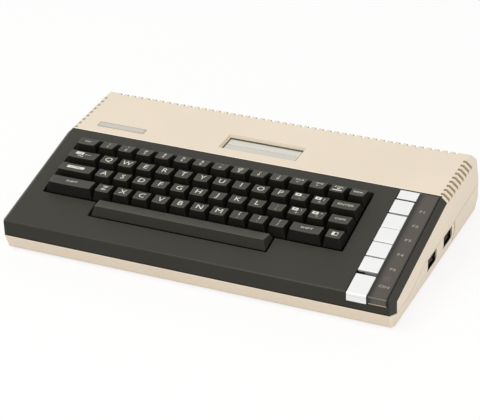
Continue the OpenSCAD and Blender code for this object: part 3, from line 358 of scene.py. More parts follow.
metals = {
    "doorRear": ("brushedDoorRear", doorLook, (215, 212, 203), {}),
    "doorFront": ("brushedDoorFront", doorLook, (208, 204, 194), {"drift": 0.08}),
    "badge": ("badgeMetal", doorLook, (202, 197, 186), {
        "drift": 0.07, "streak": 0.3, "along": (0.03, 1, 1), "cloud": 10, "metal": 0.5, "depth": 0.01}),
    "steel": ("platedSteel", doorLook, (186, 188, 190), {
        "drift": 0.08, "streak": 0.8, "along": (0.3, 1, 1), "cloud": 8, "roughness": (0.28, 0.45), "metal": 1.0,
        "depth": 0.01}),
}
finishes = {"board": boardFinish("circuitBoard", {
    "mask": paint(38, 92, 56), "copper": paint(96, 150, 88), "track": 4.0, "grain": 0.5, "roughness": (0.25, 0.4),
    "depth": 0.03, "relief": 0.4})}
for makeFinish, table in ((mouldedPlastic, plastics), (brushedMetal, metals)):
    for finishName, (materialName, look, colour, changes) in table.items():
        finishes[finishName] = makeFinish(materialName, {**look, "colour": paint(*colour), **changes})
print("finishes done")


# CAD nodes that keep their own shape: width of the small edge bevel on each, listed by finish

nodeLooks = {
    "cream": {"lower_shell": 0.3, "upper_shell": 0.3, "side_panel": 0.12, "rear_panels": 0.12},
    "charcoal": {"keyboard_bezel": 0.3},
    "smoked": {"label_strip": 0.25},
    "silver": {"console_trims": 0.25, **{f"console_key_{i}": 0.4 for i in range(1, 6)}},
    "badge": {"name_plate": 0.15},
    "doorFront": {"door_front": 0.25},
    "doorRear": {"door_rear": 0.25},
    "lens": {"power_led": 0.2},
    "rubber": {"feet": 0.6},
    "steel": {
        "case_screws": 0.12, "lower_shield": 0, "upper_shield": 0, "modulator_can": 0, "key_springs": 0,
        "aerial_jack": 0.2, "channel_switch": 0.2,
    },
    "board": {"main_board": 0, "keyboard_circuit": 0, "console_board": 0},
    "chip": {"main_chips": 0.2},
    "pitch": {"keyboard_plate": 0},
    "ribbon": {"keyboard_ribbon": 0},
    "pin": {"port_pins": 0.15},
    "black": {
        "cartridge_socket": 0.3, "game_ports": 0.2, "serial_port": 0.25, "bus_connector": 0.25, "monitor_socket": 0.25,
        "power_socket": 0.25, "power_switch": 0.3, "power_rocker": 0.4, "channel_slider": 0.3,
    },
}
nodeEdges = {
    "weld": 0.002, "flat": 0.8, "sharp": 32,  # flat and sharp in degrees
    "clamped": {"lower_shell"},  # a full bevel would throw up spikes where its parting steps meet
}


def dressNode(name, finish, bevelWidth):
    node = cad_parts[name]
    node.data.materials.clear()
    node.data.materials.append(finishes[finish])
    for face in node.data.polygons:
        face.material_index = 0
    if not bevelWidth:
        return
    node.data.shade_smooth()
    weld = node.modifiers.new("joinSeams", "WELD")
    weld.merge_threshold = nodeEdges["weld"] * mm
    flats = node.modifiers.new("joinFlats", "DECIMATE")
    flats.decimate_type = "DISSOLVE"
    flats.angle_limit = math.radians(nodeEdges["flat"])
    flats.delimit = {"MATERIAL"}
    bevel = node.modifiers.new("softEdges", "BEVEL")
    bevel.width = bevelWidth * mm
    bevel.segments = 2
    bevel.limit_method = "ANGLE"
    bevel.angle_limit = math.radians(nodeEdges["sharp"])
    bevel.use_clamp_overlap = name in nodeEdges["clamped"]
    bevel.harden_normals = False
    normals = node.modifiers.new("evenShading", "WEIGHTED_NORMAL")
    normals.keep_sharp = True


def recolourFaces(name, finish, place, low, high):
    # gives the faces that lie between two corners, measured in the frame at place, a second finish
    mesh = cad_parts[name].data
    toPlace = (Matrix.Scale(mm, 4) @ place).inverted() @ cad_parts[name].matrix_world
    slack = 0.01
    inside = []
    for vertex in mesh.vertices:
        p = toPlace @ vertex.co
        inside.append(all(a - slack <= c <= b + slack for a, c, b in zip(low, p, high)))
    if finishes[finish].name not in mesh.materials:
        mesh.materials.append(finishes[finish])
    index = mesh.materials.find(finishes[finish].name)
    for face in mesh.polygons:
        if all(inside[i] for i in face.vertices):
            face.material_index = index


for finishName, nodes in nodeLooks.items():
    for nodeName, bevelWidth in nodes.items():
        dressNode(nodeName, finishName, bevelWidth)

# cartridge slot: painted shade, dark faces round the hinges and shaded walls at the rear and the left
slotPlace = {
    "halfX": 36.8, "front": 16.585, "rear": 38.985, "drop": 2.8, "gap": 2.0, "shadowLeft": 1.2, "shadowRear": 2.2,
    "hinge": 5, "rim": 6, "rimFront": 4, "wallDrop": 3.5, "doorDrop": 9,
}
hingeX, rimX = slotPlace["halfX"] + slotPlace["hinge"], slotPlace["halfX"] + slotPlace["rim"]
slotFront, slotRear, slotRim = slotPlace["front"], slotPlace["rear"], slotPlace["rear"] + slotPlace["rim"]
for door, s0, s1 in (("door_rear", slotRear - slotPlace["gap"], slotRear + 1),
                     ("door_front", slotFront - 1, slotFront + slotPlace["gap"])):
    recolourFaces(door, "slotShade", rearFrame, (-hingeX, s0, -slotPlace["doorDrop"]), (hingeX, s1, 0))
for low, high in (((-rimX, slotRear - 0.5), (rimX, slotRim)),
                  ((-rimX, slotFront - slotPlace["rimFront"]), (0.5 - slotPlace["halfX"], slotRim))):
    recolourFaces("upper_shell", "slotWallShade", rearFrame, (*low, -slotPlace["wallDrop"]), (*high, 0.05))

# painted shade: the groove between the silver keys and the strip is painted black, and the two fronts are painted in
# darker copies of their finishes as shaded faces
recolourFaces("keyboard_bezel", "pitch", caseFrame, (164.0, -5, 21), (165.6, 133, 60))
recolourFaces("keyboard_bezel", "charcoalFrontShade", caseFrame, (-190, -1, -5), (190, 0.05, 40))
recolourFaces("lower_shell", "creamFrontShade", caseFrame, (-190, -1, -0.1), (190, 5.0, 14.3))

# vent slots: painted shade, the walls inside them are painted darker than the skin, paler on the left side and at the
# rear
vents = {
    "width": 3.4, "sideCount": 9, "rearCount": 46, "start": 5.5, "end": 24.6, "margin": 18.4, "reach": 7.8,
    "rearReach": 3.5, "drop": 6.8,
}
rearLength = caseSize["depth"] - caseSize["deckDepth"]
halfCase, halfVent, ventReach, ventDrop = caseSize["width"] / 2, vents["width"] / 2, vents["reach"], vents["drop"]
for i in range(vents["sideCount"]):
    y = vents["start"] + i * (rearLength - vents["start"] - vents["end"]) / (vents["sideCount"] - 1)
    for wall, x0, x1 in (("ventWallShadePale", -halfCase, ventReach - halfCase),
                         ("ventWallShade", halfCase - ventReach, halfCase)):
        recolourFaces("upper_shell", wall, rearFrame, (x0, y - halfVent, -ventDrop), (x1, y + halfVent, 0.1))
for i in range(vents["rearCount"]):
    x = (i - (vents["rearCount"] - 1) / 2) * (caseSize["width"] - 2 * vents["margin"]) / (vents["rearCount"] - 1)
    y, z = caseSize["depth"] - caseSize["rearLean"] - vents["rearReach"], caseSize["rearHeight"]
    recolourFaces("upper_shell", "ventWallShadePale", caseFrame, (x - halfVent, y, z - ventDrop),
                  (x + halfVent, y + 20, z + 1))
print("casing nodes dressed")


# Mesh making

def emptyShape():
    return {"points": [], "faces": [], "finish": [], "paintedLightShare": []}


def addRings(shape, rings, paintedLightShares=None, finish=0, capped=True):
    # skins a stack of closed rings with equal numbers of points; the amount of painted light is a value or a list for
    # each ring
    paintedLightShares = paintedLightShares or [0.0] * len(rings)
    first = len(shape["points"])
    count = len(rings[0])
    for ring, paintedLightShare in zip(rings, paintedLightShares):
        shape["points"] += ring
        shape["paintedLightShare"] += paintedLightShare if isinstance(paintedLightShare, list) else [paintedLightShare] * count
    for k in range(len(rings) - 1):
        low, high = first + k * count, first + (k + 1) * count
        for i in range(count):
            j = (i + 1) % count
            shape["faces"].append((low + i, low + j, high + j, high + i))
            shape["finish"].append(finish)
    last = first + (len(rings) - 1) * count
    if not capped:
        return
    for ring, paintedLightShare, start, order in ((rings[0], paintedLightShares[0], first, -1), (rings[-1], paintedLightShares[-1], last, 1)):
        shape["points"].append(sum((Vector(p) for p in ring), Vector()) / count)
        shape["paintedLightShare"].append(paintedLightShare[0] if isinstance(paintedLightShare, list) else paintedLightShare)
        hub = len(shape["points"]) - 1
        for i in range(count):
            corners = (start + i, start + (i + 1) % count, hub)
            shape["faces"].append(corners[::order])
            shape["finish"].append(finish)


def addSlab(shape, x0, x1, y0, y1, low, high, finish=0):
    corners = [(x0, y0), (x1, y0), (x1, y1), (x0, y1)]
    addRings(shape, [[Vector((x, y, z)) for x, y in corners] for z in (low, high)], finish=finish)


def makePiece(name, shape, place, finishNames, body, stoodFor=(), flat=False):
    mesh = bpy.data.meshes.new(name)
    toRow = Matrix.Scale(mm, 4)
    placeInRow = Matrix.Translation(place.translation * mm) @ place.to_3x3().to_4x4() @ toRow
    mesh.from_pydata([placeInRow @ Vector(p) for p in shape["points"]], [], shape["faces"])
    for finish in finishNames:
        mesh.materials.append(finishes[finish])
    mesh.polygons.foreach_set("material_index", shape["finish"])
    paintedLightShare = mesh.attributes.new("paintedLightShare", "FLOAT", "POINT")
    paintedLightShare.data.foreach_set("value", shape["paintedLightShare"])
    mesh.validate()
    if not flat:
        mesh.shade_smooth()
    piece = addObject(name, mesh)
    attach(piece, body)
    if stoodFor:
        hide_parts(*stoodFor)
    return piece


def addTrim(name, shape, place, finishNames):
    makePiece(name, shape, place, finishNames, "case", flat=True)


def roundedLoop(x0, y0, x1, y1, radius, stepsX, stepsY, stepsCorner=4):
    centres = [(x1 - radius, y0 + radius, -90), (x1 - radius, y1 - radius, 0),
               (x0 + radius, y1 - radius, 90), (x0 + radius, y0 + radius, 180)]
    arcs = []
    for cx, cy, start in centres:
        angles = [math.radians(start + 90 * i / stepsCorner) for i in range(stepsCorner + 1)]
        arcs.append([Vector((cx + radius * math.cos(a), cy + radius * math.sin(a))) for a in angles])
    loop = []
    for k, arc in enumerate(arcs):
        loop += arc
        here, ahead = arc[-1], arcs[(k + 1) % 4][0]
        steps = (stepsY, stepsX)[k % 2]
        loop += [here.lerp(ahead, i / steps) for i in range(1, steps)]
    return loop


def circlePoints(count):
    angles = [math.tau * i / count for i in range(count)]
    return [(math.cos(a), math.sin(a)) for a in angles]


# Keycaps

keyboard = {
    "left": -166.7, "start": 47.4, "pitch": 19.05, "gap": 0.95,
    "rise": [7.5, 7.7, 8.2, 8.4], "tilt": [-15.0, -11.0, -10.8, -9.2],
    "lean": 2.3, "frontLean": 3.5, "backLean": 2.9, "skirt": 1.0, "wall": 1.2, "stem": 5.5, "stemLow": -14.2,
    "stemDrop": 0.4, "stemTaper": 0.5, "stemCorner": 0.3, "ceiling": 0.86, "ceilingDrop": 0.6, "lipShare": 0.85,
    "sideShares": (0.04, 0.5, 0.93), "topShares": (0.12, 0.35, 0.6, 0.85),
    "dish": 0.5, "wideDish": 0.3, "footCorner": 0.9, "topCorner": 0.9, "edge": 0.35, "edgeTurn": 22.5,
    "units": [[1.25] + [1] * 14, [1.75] + [1] * 12 + [1.5], [2] + [1] * 12 + [1.25], [2.5] + [1] * 10 + [1.75, 1]],
    "barOffset": 2.93, "barUnits": 9, "barRise": 6.1, "barTilt": -16.0, "barFront": 4.6, "barBack": 1.5,
    # painted light: the space bar's sides get a little of the lighter colour, and its top and edges a little more
    "barStems": (-0.38, 0, 0.38), "barSide": 0.22, "barShare": 1.04,
    # painted light on the caps: the top edges get painted highlights and the tops are painted lighter as lit faces
    "paintedLightShares": {"edge": (0.05, 0.35, 0.78, 0.8, 0.64), "top": 0.53},
}


def capSpot(x, s, width, rise, tilt, more):
    halfX, halfS = (width - keyboard["gap"]) / 2, (keyboard["pitch"] - keyboard["gap"]) / 2
    return {"x": x, "s": s, "halfX": halfX, "halfS": halfS, "rise": rise, "tilt": math.tan(math.radians(tilt)),
            "lean": keyboard["lean"], **more}


def keySpot(row, index):
    units = keyboard["units"][row]
    x = keyboard["left"] + keyboard["pitch"] * (sum(units[:index]) + units[index] / 2)
    s = keyboard["start"] + keyboard["pitch"] * (3.5 - row)
    return capSpot(x, s, units[index] * keyboard["pitch"], keyboard["rise"][row], keyboard["tilt"][row], {
        "front": keyboard["frontLean"], "back": keyboard["backLean"], "stems": [0.0], "share": 1.0, "side": 0.0,
        "dish": keyboard["dish"] if units[index] < 2 else keyboard["wideDish"],
    })


def barSpot():
    width = keyboard["barUnits"] * keyboard["pitch"]
    x = keyboard["left"] + keyboard["pitch"] * keyboard["barOffset"] + width / 2
    s = keyboard["start"] - keyboard["pitch"] / 2
    return capSpot(x, s, width, keyboard["barRise"], keyboard["barTilt"], {
        "front": keyboard["barFront"], "back": keyboard["barBack"], "stems": [k * width for k in keyboard["barStems"]],
        "dish": 0.0, "share": keyboard["barShare"], "side": keyboard["barSide"],
    })


def topHeight(cap, u, v):
    # height of the dished top at u across and v up from the middle of the top
    halfTop = cap["halfX"] - cap["lean"]
    middle = (cap["front"] - cap["back"]) / 2
    hollow = cap["dish"] * max(0.0, 1 - (u / halfTop) ** 2)
    return cap["rise"] + (v - middle) * cap["tilt"] - hollow


def addCap(shape, cap):
    skirt, lean, wall = keyboard["skirt"], cap["lean"], keyboard["wall"]
    high = cap["rise"] + skirt
    halfTop = cap["halfX"] - lean
    front, back = cap["front"] - cap["halfS"], cap["halfS"] - cap["back"]
    stepsX = max(8, round(cap["halfX"] * 0.7))
    edge, paintedLightShare = keyboard["edge"], keyboard["paintedLightShares"]

    def footLoop(inset):
        radius = max(0.2, keyboard["footCorner"] - inset)
        return roundedLoop(inset - cap["halfX"], inset - cap["halfS"], cap["halfX"] - inset, cap["halfS"] - inset,
                           radius, stepsX, 6)

    def topLoop(inset):
        radius = max(0.25, keyboard["topCorner"] - inset)
        loop = roundedLoop(inset - halfTop, front + inset, halfTop - inset, back - inset, radius, stepsX, 6)
        ring = []
        for p in loop:
            n = topHeight(cap, p.x, p.y)
            ring.append(Vector((p.x * (1 + lean * (cap["rise"] - n) / high / halfTop), p.y, n)))
        return ring

    foot = [Vector((p.x, p.y, -skirt)) for p in footLoop(0)]
    rim = topLoop(0)
    inner = [Vector((p.x, p.y, -skirt)) for p in footLoop(wall)]
    inward, lip = keyboard["ceiling"], keyboard["lipShare"]
    ceiling = [Vector((p.x * inward, p.y * inward, p.z - wall - keyboard["ceilingDrop"])) for p in rim]
    rings = [ceiling, inner, [a.lerp(b, lip) for a, b in zip(inner, foot)], foot]
    rings += [[a.lerp(b, share) for a, b in zip(foot, rim)] for share in keyboard["sideShares"]]
    # painted light: the sides keep the dark colour as shade, and the rounded top edge and the top are painted lighter
    # as lit faces and highlights
    paintedLightShares = [cap["side"]] * len(rings)
    for step, amount in enumerate(paintedLightShare["edge"]):
        a = math.radians(keyboard["edgeTurn"] * step)
        ring = topLoop(edge * (1 - math.cos(a)))
        drop = edge * (1 - math.sin(a))
        rings.append([p + (f - r) * (drop / (r.z + skirt)) for p, f, r in zip(ring, foot, rim)])
        paintedLightShares.append(amount * cap["share"])
    flat = topLoop(edge)
    middleY = (front + back) / 2
    for share in keyboard["topShares"]:
        ring = []
        for p in flat:
            q = p.lerp(Vector((0, middleY, p.z)), share)
            ring.append(Vector((q.x, q.y, topHeight(cap, q.x, q.y))))
        rings.append(ring)
        paintedLightShares.append(paintedLightShare["top"] * cap["share"])
    offset = Vector((cap["x"], cap["s"], 0))
    addRings(shape, [[p + offset for p in ring] for ring in rings], paintedLightShares)
    half, low, taper = keyboard["stem"] / 2, keyboard["stemLow"], keyboard["stemTaper"]
    for x in cap["stems"]:
        rings = []
        for z, inset in ((cap["rise"] - wall - keyboard["stemDrop"], 0), (low + taper, 0), (low, taper)):
            side = half - inset
            loop = roundedLoop(-side, -side, side, side, keyboard["stemCorner"], 1, 1, 2)
            rings.append([Vector((p.x, p.y, z)) + offset + Vector((x, 0, 0)) for p in loop])
        addRings(shape, rings[::-1])


# Lettering: plain letters, numbers, punctuation and arrows only

lettering = {
    "lift": 0.05, "depth": 0.05, "boxRadius": 0.5, "barRadius": 0.2,
    # middle across and up the key, height, widening
    "letter": (0, 0.5, 6.3, 1.0), "word": (0, 0.5, 2.8, 1.25), "pair": ((0, 2.7, 3.5, 1.0), (0, -2.1, 3.5, 1.0)),
    "arrowMarks": ((3.2, 2.3, 3.4, 1.0), (0.2, -2.7, 3.2, 1.0)), "boxWord": (-1.0, 0.6, 2.1, 1.5),
    "tabMarks": ((-4.6, 2.2, 2.2, 1.0), (4.4, 1.2, 2.2, 1.3), (-2.4, -2.4, 2.2, 1.0)),
    "overMarks": ((0.4, 3.2, 2.5, 1.25), (-0.6, -1.2, 3.2, 1.0)), "stackWord": (0.2, 3.4, 2.4, 1.5),
    # middle across and up the key, width, height
    "arrowBox": (-2.6, 2.5, 5.6, 4.2), "wordBox": (-1.0, 0.6, 17.4, 4.0), "tabBox": (-4.6, 2.2, 8.0, 4.2),
    "stackBar": (0.0, -2.9, 9.0, 1.3), "halfBox": (0, 0.4, 5.6, 5.2),
    "halfFill": [(-0.2, 1.8), (-0.2, -1.8), (2.2, -1.8), (2.2, 1.8)],
    # middle across and up the key, size
    "boxArrow": (-2.6, 2.5, 2.7), "stackArrow": (0.4, 0.2, 3.4),
}


def textOutline(text, extrude):
    curve = bpy.data.curves.new("lettering", "FONT")
    curve.body = text
    curve.size = 1
    curve.align_x = "CENTER"
    curve.resolution_u = 3
    curve.extrude = extrude
    holder = addObject("lettering", curve)
    bpy.context.view_layer.update()
    mesh = bpy.data.meshes.new_from_object(holder.evaluated_get(bpy.context.evaluated_depsgraph_get()))
    points = [v.co.copy() for v in mesh.vertices]
    faces = [tuple(p.vertices) for p in mesh.polygons]
    bpy.data.objects.remove(holder)
    bpy.data.curves.remove(curve)
    bpy.data.meshes.remove(mesh)
    return points, faces


capitalHeight = max(p.y for p in textOutline("H", 0)[0])


def addOutline(shape, points, faces, finish):
    start = len(shape["points"])
    shape["points"] += points
    shape["paintedLightShare"] += [0.0] * len(points)
    for face in faces:
        shape["faces"].append(tuple(start + i for i in face))
        shape["finish"].append(finish)


def addText(shape, text, u, v, height, surface, finish=0, lift=0.0, widen=1.0):
    scale = height / capitalHeight
    points, faces = textOutline(text, lettering["depth"] / scale)
    placed = [surface(u + p.x * scale * widen, v + p.y * scale - height / 2, p.z * scale + lift) for p in points]
    addOutline(shape, placed, faces, finish)


def addFlat(shape, outline, u, v, surface, finish=0, lift=0.0):
    # a thin flat shape, given as a closed outline
    depth = lettering["depth"]
    count = len(outline)
    points = [surface(u + x, v + y, z + lift) for z in (-depth, depth) for x, y in outline]
    faces = [tuple(range(count))[::-1], tuple(range(count, 2 * count))]
    faces += [(i, (i + 1) % count, count + (i + 1) % count, count + i) for i in range(count)]
    addOutline(shape, points, faces, finish)


def boxOutline(width, height, radius):
    return [tuple(p) for p in roundedLoop(-width / 2, -height / 2, width / 2, height / 2, radius, 4, 1, 3)]


def arrowOutline(size, turn):
    # an arrow that points up, turned anticlockwise by turn degrees
    shape = [(-0.13, -0.5), (0.13, -0.5), (0.13, 0.05), (0.42, 0.05), (0, 0.5), (-0.42, 0.05), (-0.13, 0.05)]
    a = math.radians(turn)
    return [(size * (x * math.cos(a) - y * math.sin(a)), size * (x * math.sin(a) + y * math.cos(a))) for x, y in shape]


def capSurface(cap):
    middle = (cap["front"] - cap["back"]) / 2
    foreshorten = math.cos(math.atan(cap["tilt"]))

    def surface(u, v, lift):
        y = middle + v * foreshorten
        return Vector((cap["x"] + u, cap["s"] + y, topHeight(cap, u, y) + lift))
    return surface


def addLegend(shape, cap, legend):
    surface, look = capSurface(cap), lettering
    kind, main, other = legend if isinstance(legend, tuple) else ("plain", legend, None)

    def write(texts, spots, finishes=(0, 0)):
        for text, (u, v, height, widen), finish in zip(texts, spots, finishes):
            addText(shape, text, u, v, height, surface, finish, finish * look["lift"], widen)

    def fill(spot, radius=look["boxRadius"]):
        u, v, width, height = spot
        addFlat(shape, boxOutline(width, height, radius), u, v, surface)

    def point(spot, turn, finish=0):
        u, v, size = spot
        addFlat(shape, arrowOutline(size, turn), u, v, surface, finish, finish * look["lift"])

    if kind == "arrow":
        fill(look["arrowBox"])
        point(look["boxArrow"], main, 1)
        write(other, look["arrowMarks"])
    elif kind == "box":
        fill(look["wordBox"])
        write([main], [look["boxWord"]], [1])
    elif kind == "tab":
        fill(look["tabBox"])
        write(("->|", main, other), look["tabMarks"], (1, 0, 0))
    elif kind == "over":
        write((main, other), look["overMarks"])
    elif kind == "stack":
        write([main], [look["stackWord"]])
        point(look["stackArrow"], 90)
        fill(look["stackBar"], look["barRadius"])
    elif kind == "word":
        u, v, height, widen = look["word"]
        write([main], [(u, v, other or height, widen)])
    elif kind == "half":
        fill(look["halfBox"])
        u, v = look["halfBox"][:2]
        addFlat(shape, look["halfFill"], u, v, surface, 1, look["lift"])
    elif " " in main:
        write(main.split(), look["pair"])
    else:
        write([main], [look["letter"]])


def fiveKeys(row, start):
    return [(row, i) for i in range(start, start + 5)]


keyBank = [
    ("key_escape", [(0, 0)], [("word", "ESC", 2.2)]),
    ("digit_keys_left", fiveKeys(0, 1), ["! 1", "\" 2", "# 3", "$ 4", "% 5"]),
    ("digit_keys_right", fiveKeys(0, 6), ["& 6", "' 7", "@ 8", "( 9", ") 0"]),
    ("edit_keys", [(0, 11), (0, 12), (0, 13)], [("over", "CLR", "<"), ("over", "INS", ">"), ("stack", "DEL", None)]),
    ("key_break", [(0, 14)], [("word", "BRK", 2.8)]),
    ("key_tab", [(1, 0)], [("tab", "|<>", "TAB")]),
    ("upper_letters_left", fiveKeys(1, 1), list("QWERT")),
    ("upper_letters_right", fiveKeys(1, 6), list("YUIOP")),
    ("key_enter", [(1, 13)], [("word", "ENTER", None)]),
    ("key_control", [(2, 0)], [("box", "CTRL", None)]),
    ("home_letters_left", fiveKeys(2, 1), list("ASDFG")),
    ("home_letters_right", fiveKeys(2, 6), list("HJKL") + [": ;"]),
    ("key_caps", [(2, 13)], [("word", "CAPS", 2.4)]),
    ("key_shift_left", [(3, 0)], [("word", "SHIFT", 2.5)]),
    ("lower_letters_left", fiveKeys(3, 1), list("ZXCVB")),
    ("lower_letters_right", fiveKeys(3, 6), ["N", "M", "[ ,", "] .", "? /"]),
    ("key_shift_right", [(3, 11)], [("word", "SHIFT", 2.5)]),
    ("key_inverse", [(3, 12)], [("half", None, None)]),
    ("cursor_keys", [(1, 11), (1, 12), (2, 11), (2, 12)],
     [("arrow", 0, "_-"), ("arrow", 180, "|="), ("arrow", 90, "\\+"), ("arrow", -90, "^*")]),
]

for bodyName, spots, legends in keyBank:
    caps, marks = emptyShape(), emptyShape()
    for (row, index), legend in zip(spots, legends):
        cap = keySpot(row, index)
        addCap(caps, cap)
        addLegend(marks, cap, legend)
    makePiece(bodyName + "_caps", caps, deckFrame, ["keyTop"], bodyName, [bodyName])
    makePiece(bodyName + "_legends", marks, deckFrame, ["ink", "inkDark"], bodyName, flat=True)
bar = emptyShape()
addCap(bar, barSpot())
makePiece("space_bar_cap", bar, deckFrame, ["keyTop"], "space_bar", ["space_bar"])

# Coil springs, which stand on the guide plate round the stems of the keys

spring = {
    "radius": 4.2, "wire": 0.32, "turns": 5, "steps": 14, "sides": 6, "low": -6.0, "high": 2.2, "travel": 3.8,
}


def addSpring(shape, x, s):
    rings, count = [], spring["turns"] * spring["steps"]
    low, high = spring["low"] + spring["wire"], spring["high"] - spring["wire"]
    for k in range(count + 1):
        a = math.tau * k / spring["steps"]
        out = Vector((math.cos(a), math.sin(a), 0))
        middle = Vector((x, s, low + (high - low) * k / count)) + out * spring["radius"]
        ring = []
        for j in range(spring["sides"]):
            b = -math.tau * j / spring["sides"]
            ring.append(middle + (out * math.cos(b) + Vector((0, 0, 1)) * math.sin(b)) * spring["wire"])
        rings.append(ring)
    addRings(shape, rings)


sprungKeys = [(bodyName, [keySpot(row, index) for row, index in spots]) for bodyName, spots, _ in keyBank]
for bodyName, capSpots in sprungKeys + [("space_bar", [barSpot()])]:
    coils = emptyShape()
    for cap in capSpots:
        for x in cap["stems"]:
            addSpring(coils, cap["x"] + x, cap["s"])
    piece = makePiece(bodyName + "_springs", coils, deckFrame, ["steel"], "case", ["key_springs"])
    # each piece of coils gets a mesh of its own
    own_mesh(piece)
print("keycaps and legends done")


# Thin trim that follows the front face and the deck

skin = {"bend": 1.0, "bendSteps": [0.0, 0.25, 0.5, 0.75, 1.0, 1.25, 1.35]}


def skinPoint(along, lift):
    # along is the length from the deck's front edge, less than 0 down the front face; gives y and z in the case
    radius = skin["bend"]
    centre = Vector((radius, caseSize["deckFront"] + (math.sin(slope) - 1) * radius / math.cos(slope)))
    bend = math.pi / 2 - slope
    if along < 0:
        return Vector((-lift, centre.y + along))
    angle = math.pi - min(along / radius, bend)
    point = centre + Vector((math.cos(angle), math.sin(angle))) * (radius + lift)
    rest = max(0.0, along - bend * radius)
    return point + Vector((math.cos(slope), math.sin(slope))) * rest


def addFilm(shape, stops, steps, lift=0.02, depth=0.1, finish=0):
    # a thin skin whose painted light changes across it: stops gives x and the amount of painted light, steps the
    # lengths along the deck
    rings = []
    for along in steps:
        high, low = skinPoint(along, lift), skinPoint(along, -depth)
        ring = [Vector((x, low.x, low.y)) for x, _ in stops]
        rings.append(ring + [Vector((x, high.x, high.y)) for x, _ in stops[::-1]])
    paintedLight = [paintedLightShare for _, paintedLightShare in stops]
    addRings(shape, rings, [paintedLight + paintedLight[::-1]] * len(rings), finish)


def addRibbon(shape, x0, x1, start, end, lift, finish=0):
    steps = [start] + [a for a in skin["bendSteps"] if start < a < end] + [end]
    addFilm(shape, [(x0, 0.0), (x1, 0.0)], steps, lift, 0.3, finish)


deckTrim = {
    "lip": -6.0, "rear": deckLength - 0.4, "filmRear": deckLength - 0.5,
    "lines": [(182.2, 183.1, 0.0), (145.2, 145.85, -1.0)],  # x from, x to, further down the front
    "strip": (165.8, 182.0), "stripHighlight": (0.15, 1.15), "stripLip": 0.8,
    "shade": [(164.1, 1.0), (166.2, 1.0), (167.4, 0.6), (168.8, 0.3), (170.6, 0.08), (172.0, 0.0), (179.8, 0.0),
              (181.0, 0.3), (181.9, 0.9), (182.4, 1.0)],
    "glow": [(-184.5, 0.1), (-60.0, 0.15), (40.0, 0.75), (144.6, 1.0)], "glowAlong": [0.9, 1.3, 2.1],
    "foldShade": (146.4, 163.4, -2.4, -1.3),
}
edgeLines = emptyShape()
for x0, x1, further in deckTrim["lines"]:
    addRibbon(edgeLines, x0, x1, deckTrim["lip"] + further, deckTrim["rear"], 0.03)
addTrim("edge_shadow_lines", edgeLines, caseFrame, ["pitch"])

# a painted highlight along the strip's front bend, and the beige lip at its lower end
stripHighlightAndLip = emptyShape()
stripLip = deckTrim["lip"] + deckTrim["stripLip"]
addRibbon(stripHighlightAndLip, *deckTrim["strip"], *deckTrim["stripHighlight"], 0.03, 0)
addRibbon(stripHighlightAndLip, *deckTrim["strip"], deckTrim["lip"], stripLip, 0.04, 1)
addTrim("strip_highlight_and_lip", stripHighlightAndLip, caseFrame, ["smokedHighlight", "lipCream"])

# painted shade: the smoked window is painted darker towards its long sides, where the gaps beside it lie in shadow
film = emptyShape()
addFilm(film, deckTrim["shade"], [stripLip] + skin["bendSteps"] + [deckTrim["filmRear"]])
addTrim("strip_painted_shade", film, caseFrame, ["smoked"])

# painted highlight: the deck's front edge is painted lighter towards the right, where it catches more light
edgeHighlight = emptyShape()
addFilm(edgeHighlight, deckTrim["glow"], deckTrim["glowAlong"])
addTrim("deck_edge_highlight", edgeHighlight, caseFrame, ["charcoalEdgeHighlight"])

# the bezel's rear rim laps over the cream top, with a painted shadow line at the seam and a painted highlight on the
# cream lip behind it
rim = {"halfX": 183.9, "stops": (-0.15, 0.95, 1.6, 2.7), "lift": 0.03, "depth": 0.2}
rearRim = emptyShape()
for finish, (s0, s1) in enumerate(zip(rim["stops"], rim["stops"][1:])):
    addSlab(rearRim, -rim["halfX"], rim["halfX"], s0, s1, -rim["depth"], rim["lift"], finish)
addTrim("deck_rear_rim", rearRim, rearFrame, ["charcoal", "parting", "creamHighlight"])

# thin lines along the front: a painted shadow above the seam, a painted highlight on the lip below it, painted shade on
# the lip at the bottom
front = {
    "seam": 14.2, "halfX": 184.6, "tuck": 4.9, "lift": 0.015, "depth": 0.2,
    "lines": [(14.55, 15.55), (13.2, 14.1), (0.5, 1.4)],
}
frontLines = emptyShape()
for finish, heights in enumerate(front["lines"]):
    rings = []
    for z in heights:
        y = front["tuck"] * (1 - min(z, front["seam"]) / front["seam"]) - front["lift"]
        back, halfX = y + front["depth"], front["halfX"]
        rings.append([Vector(p) for p in ((-halfX, y, z), (halfX, y, z), (halfX, back, z), (-halfX, back, z))])
    addRings(frontLines, rings, finish=finish)
addTrim("front_lines", frontLines, caseFrame, ["parting", "creamLipHighlight", "creamFootShade"])

# the rear seam of the side port panel, drawn on the right wall
sideWall = {"bend": 14.2, "draft": 2.5, "lift": 0.015, "depth": 0.2, "seam": (153.5, 155.2, 4.0, 23.2)}


def addWallBar(shape, y0, y1, low, high):
    # a thin bar on the right wall, which leans in below its bend
    bend = sideWall["bend"]
    rings = []
    for z in [low] + ([bend] if low < bend < high else []) + [high]:
        x = halfCase - sideWall["draft"] * (1 - min(z, bend) / bend) + sideWall["lift"]
        back = x - sideWall["depth"]
        rings.append([Vector(p) for p in ((x, y0, z), (x, y1, z), (back, y1, z), (back, y0, z))])
    addRings(shape, rings)


seamLine = emptyShape()
addWallBar(seamLine, *sideWall["seam"])
addTrim("side_panel_seam", seamLine, caseFrame, ["seamBrown"])

# painted shade: a slightly darker band on the silver trim below its bend
foldShade = emptyShape()
addRibbon(foldShade, *deckTrim["foldShade"], 0.025)
addTrim("trim_fold_shade", foldShade, caseFrame, ["silverFoldShade"])


# Side ports: a black shroud fills each opening, a thin rim lies round it and pins stand in it

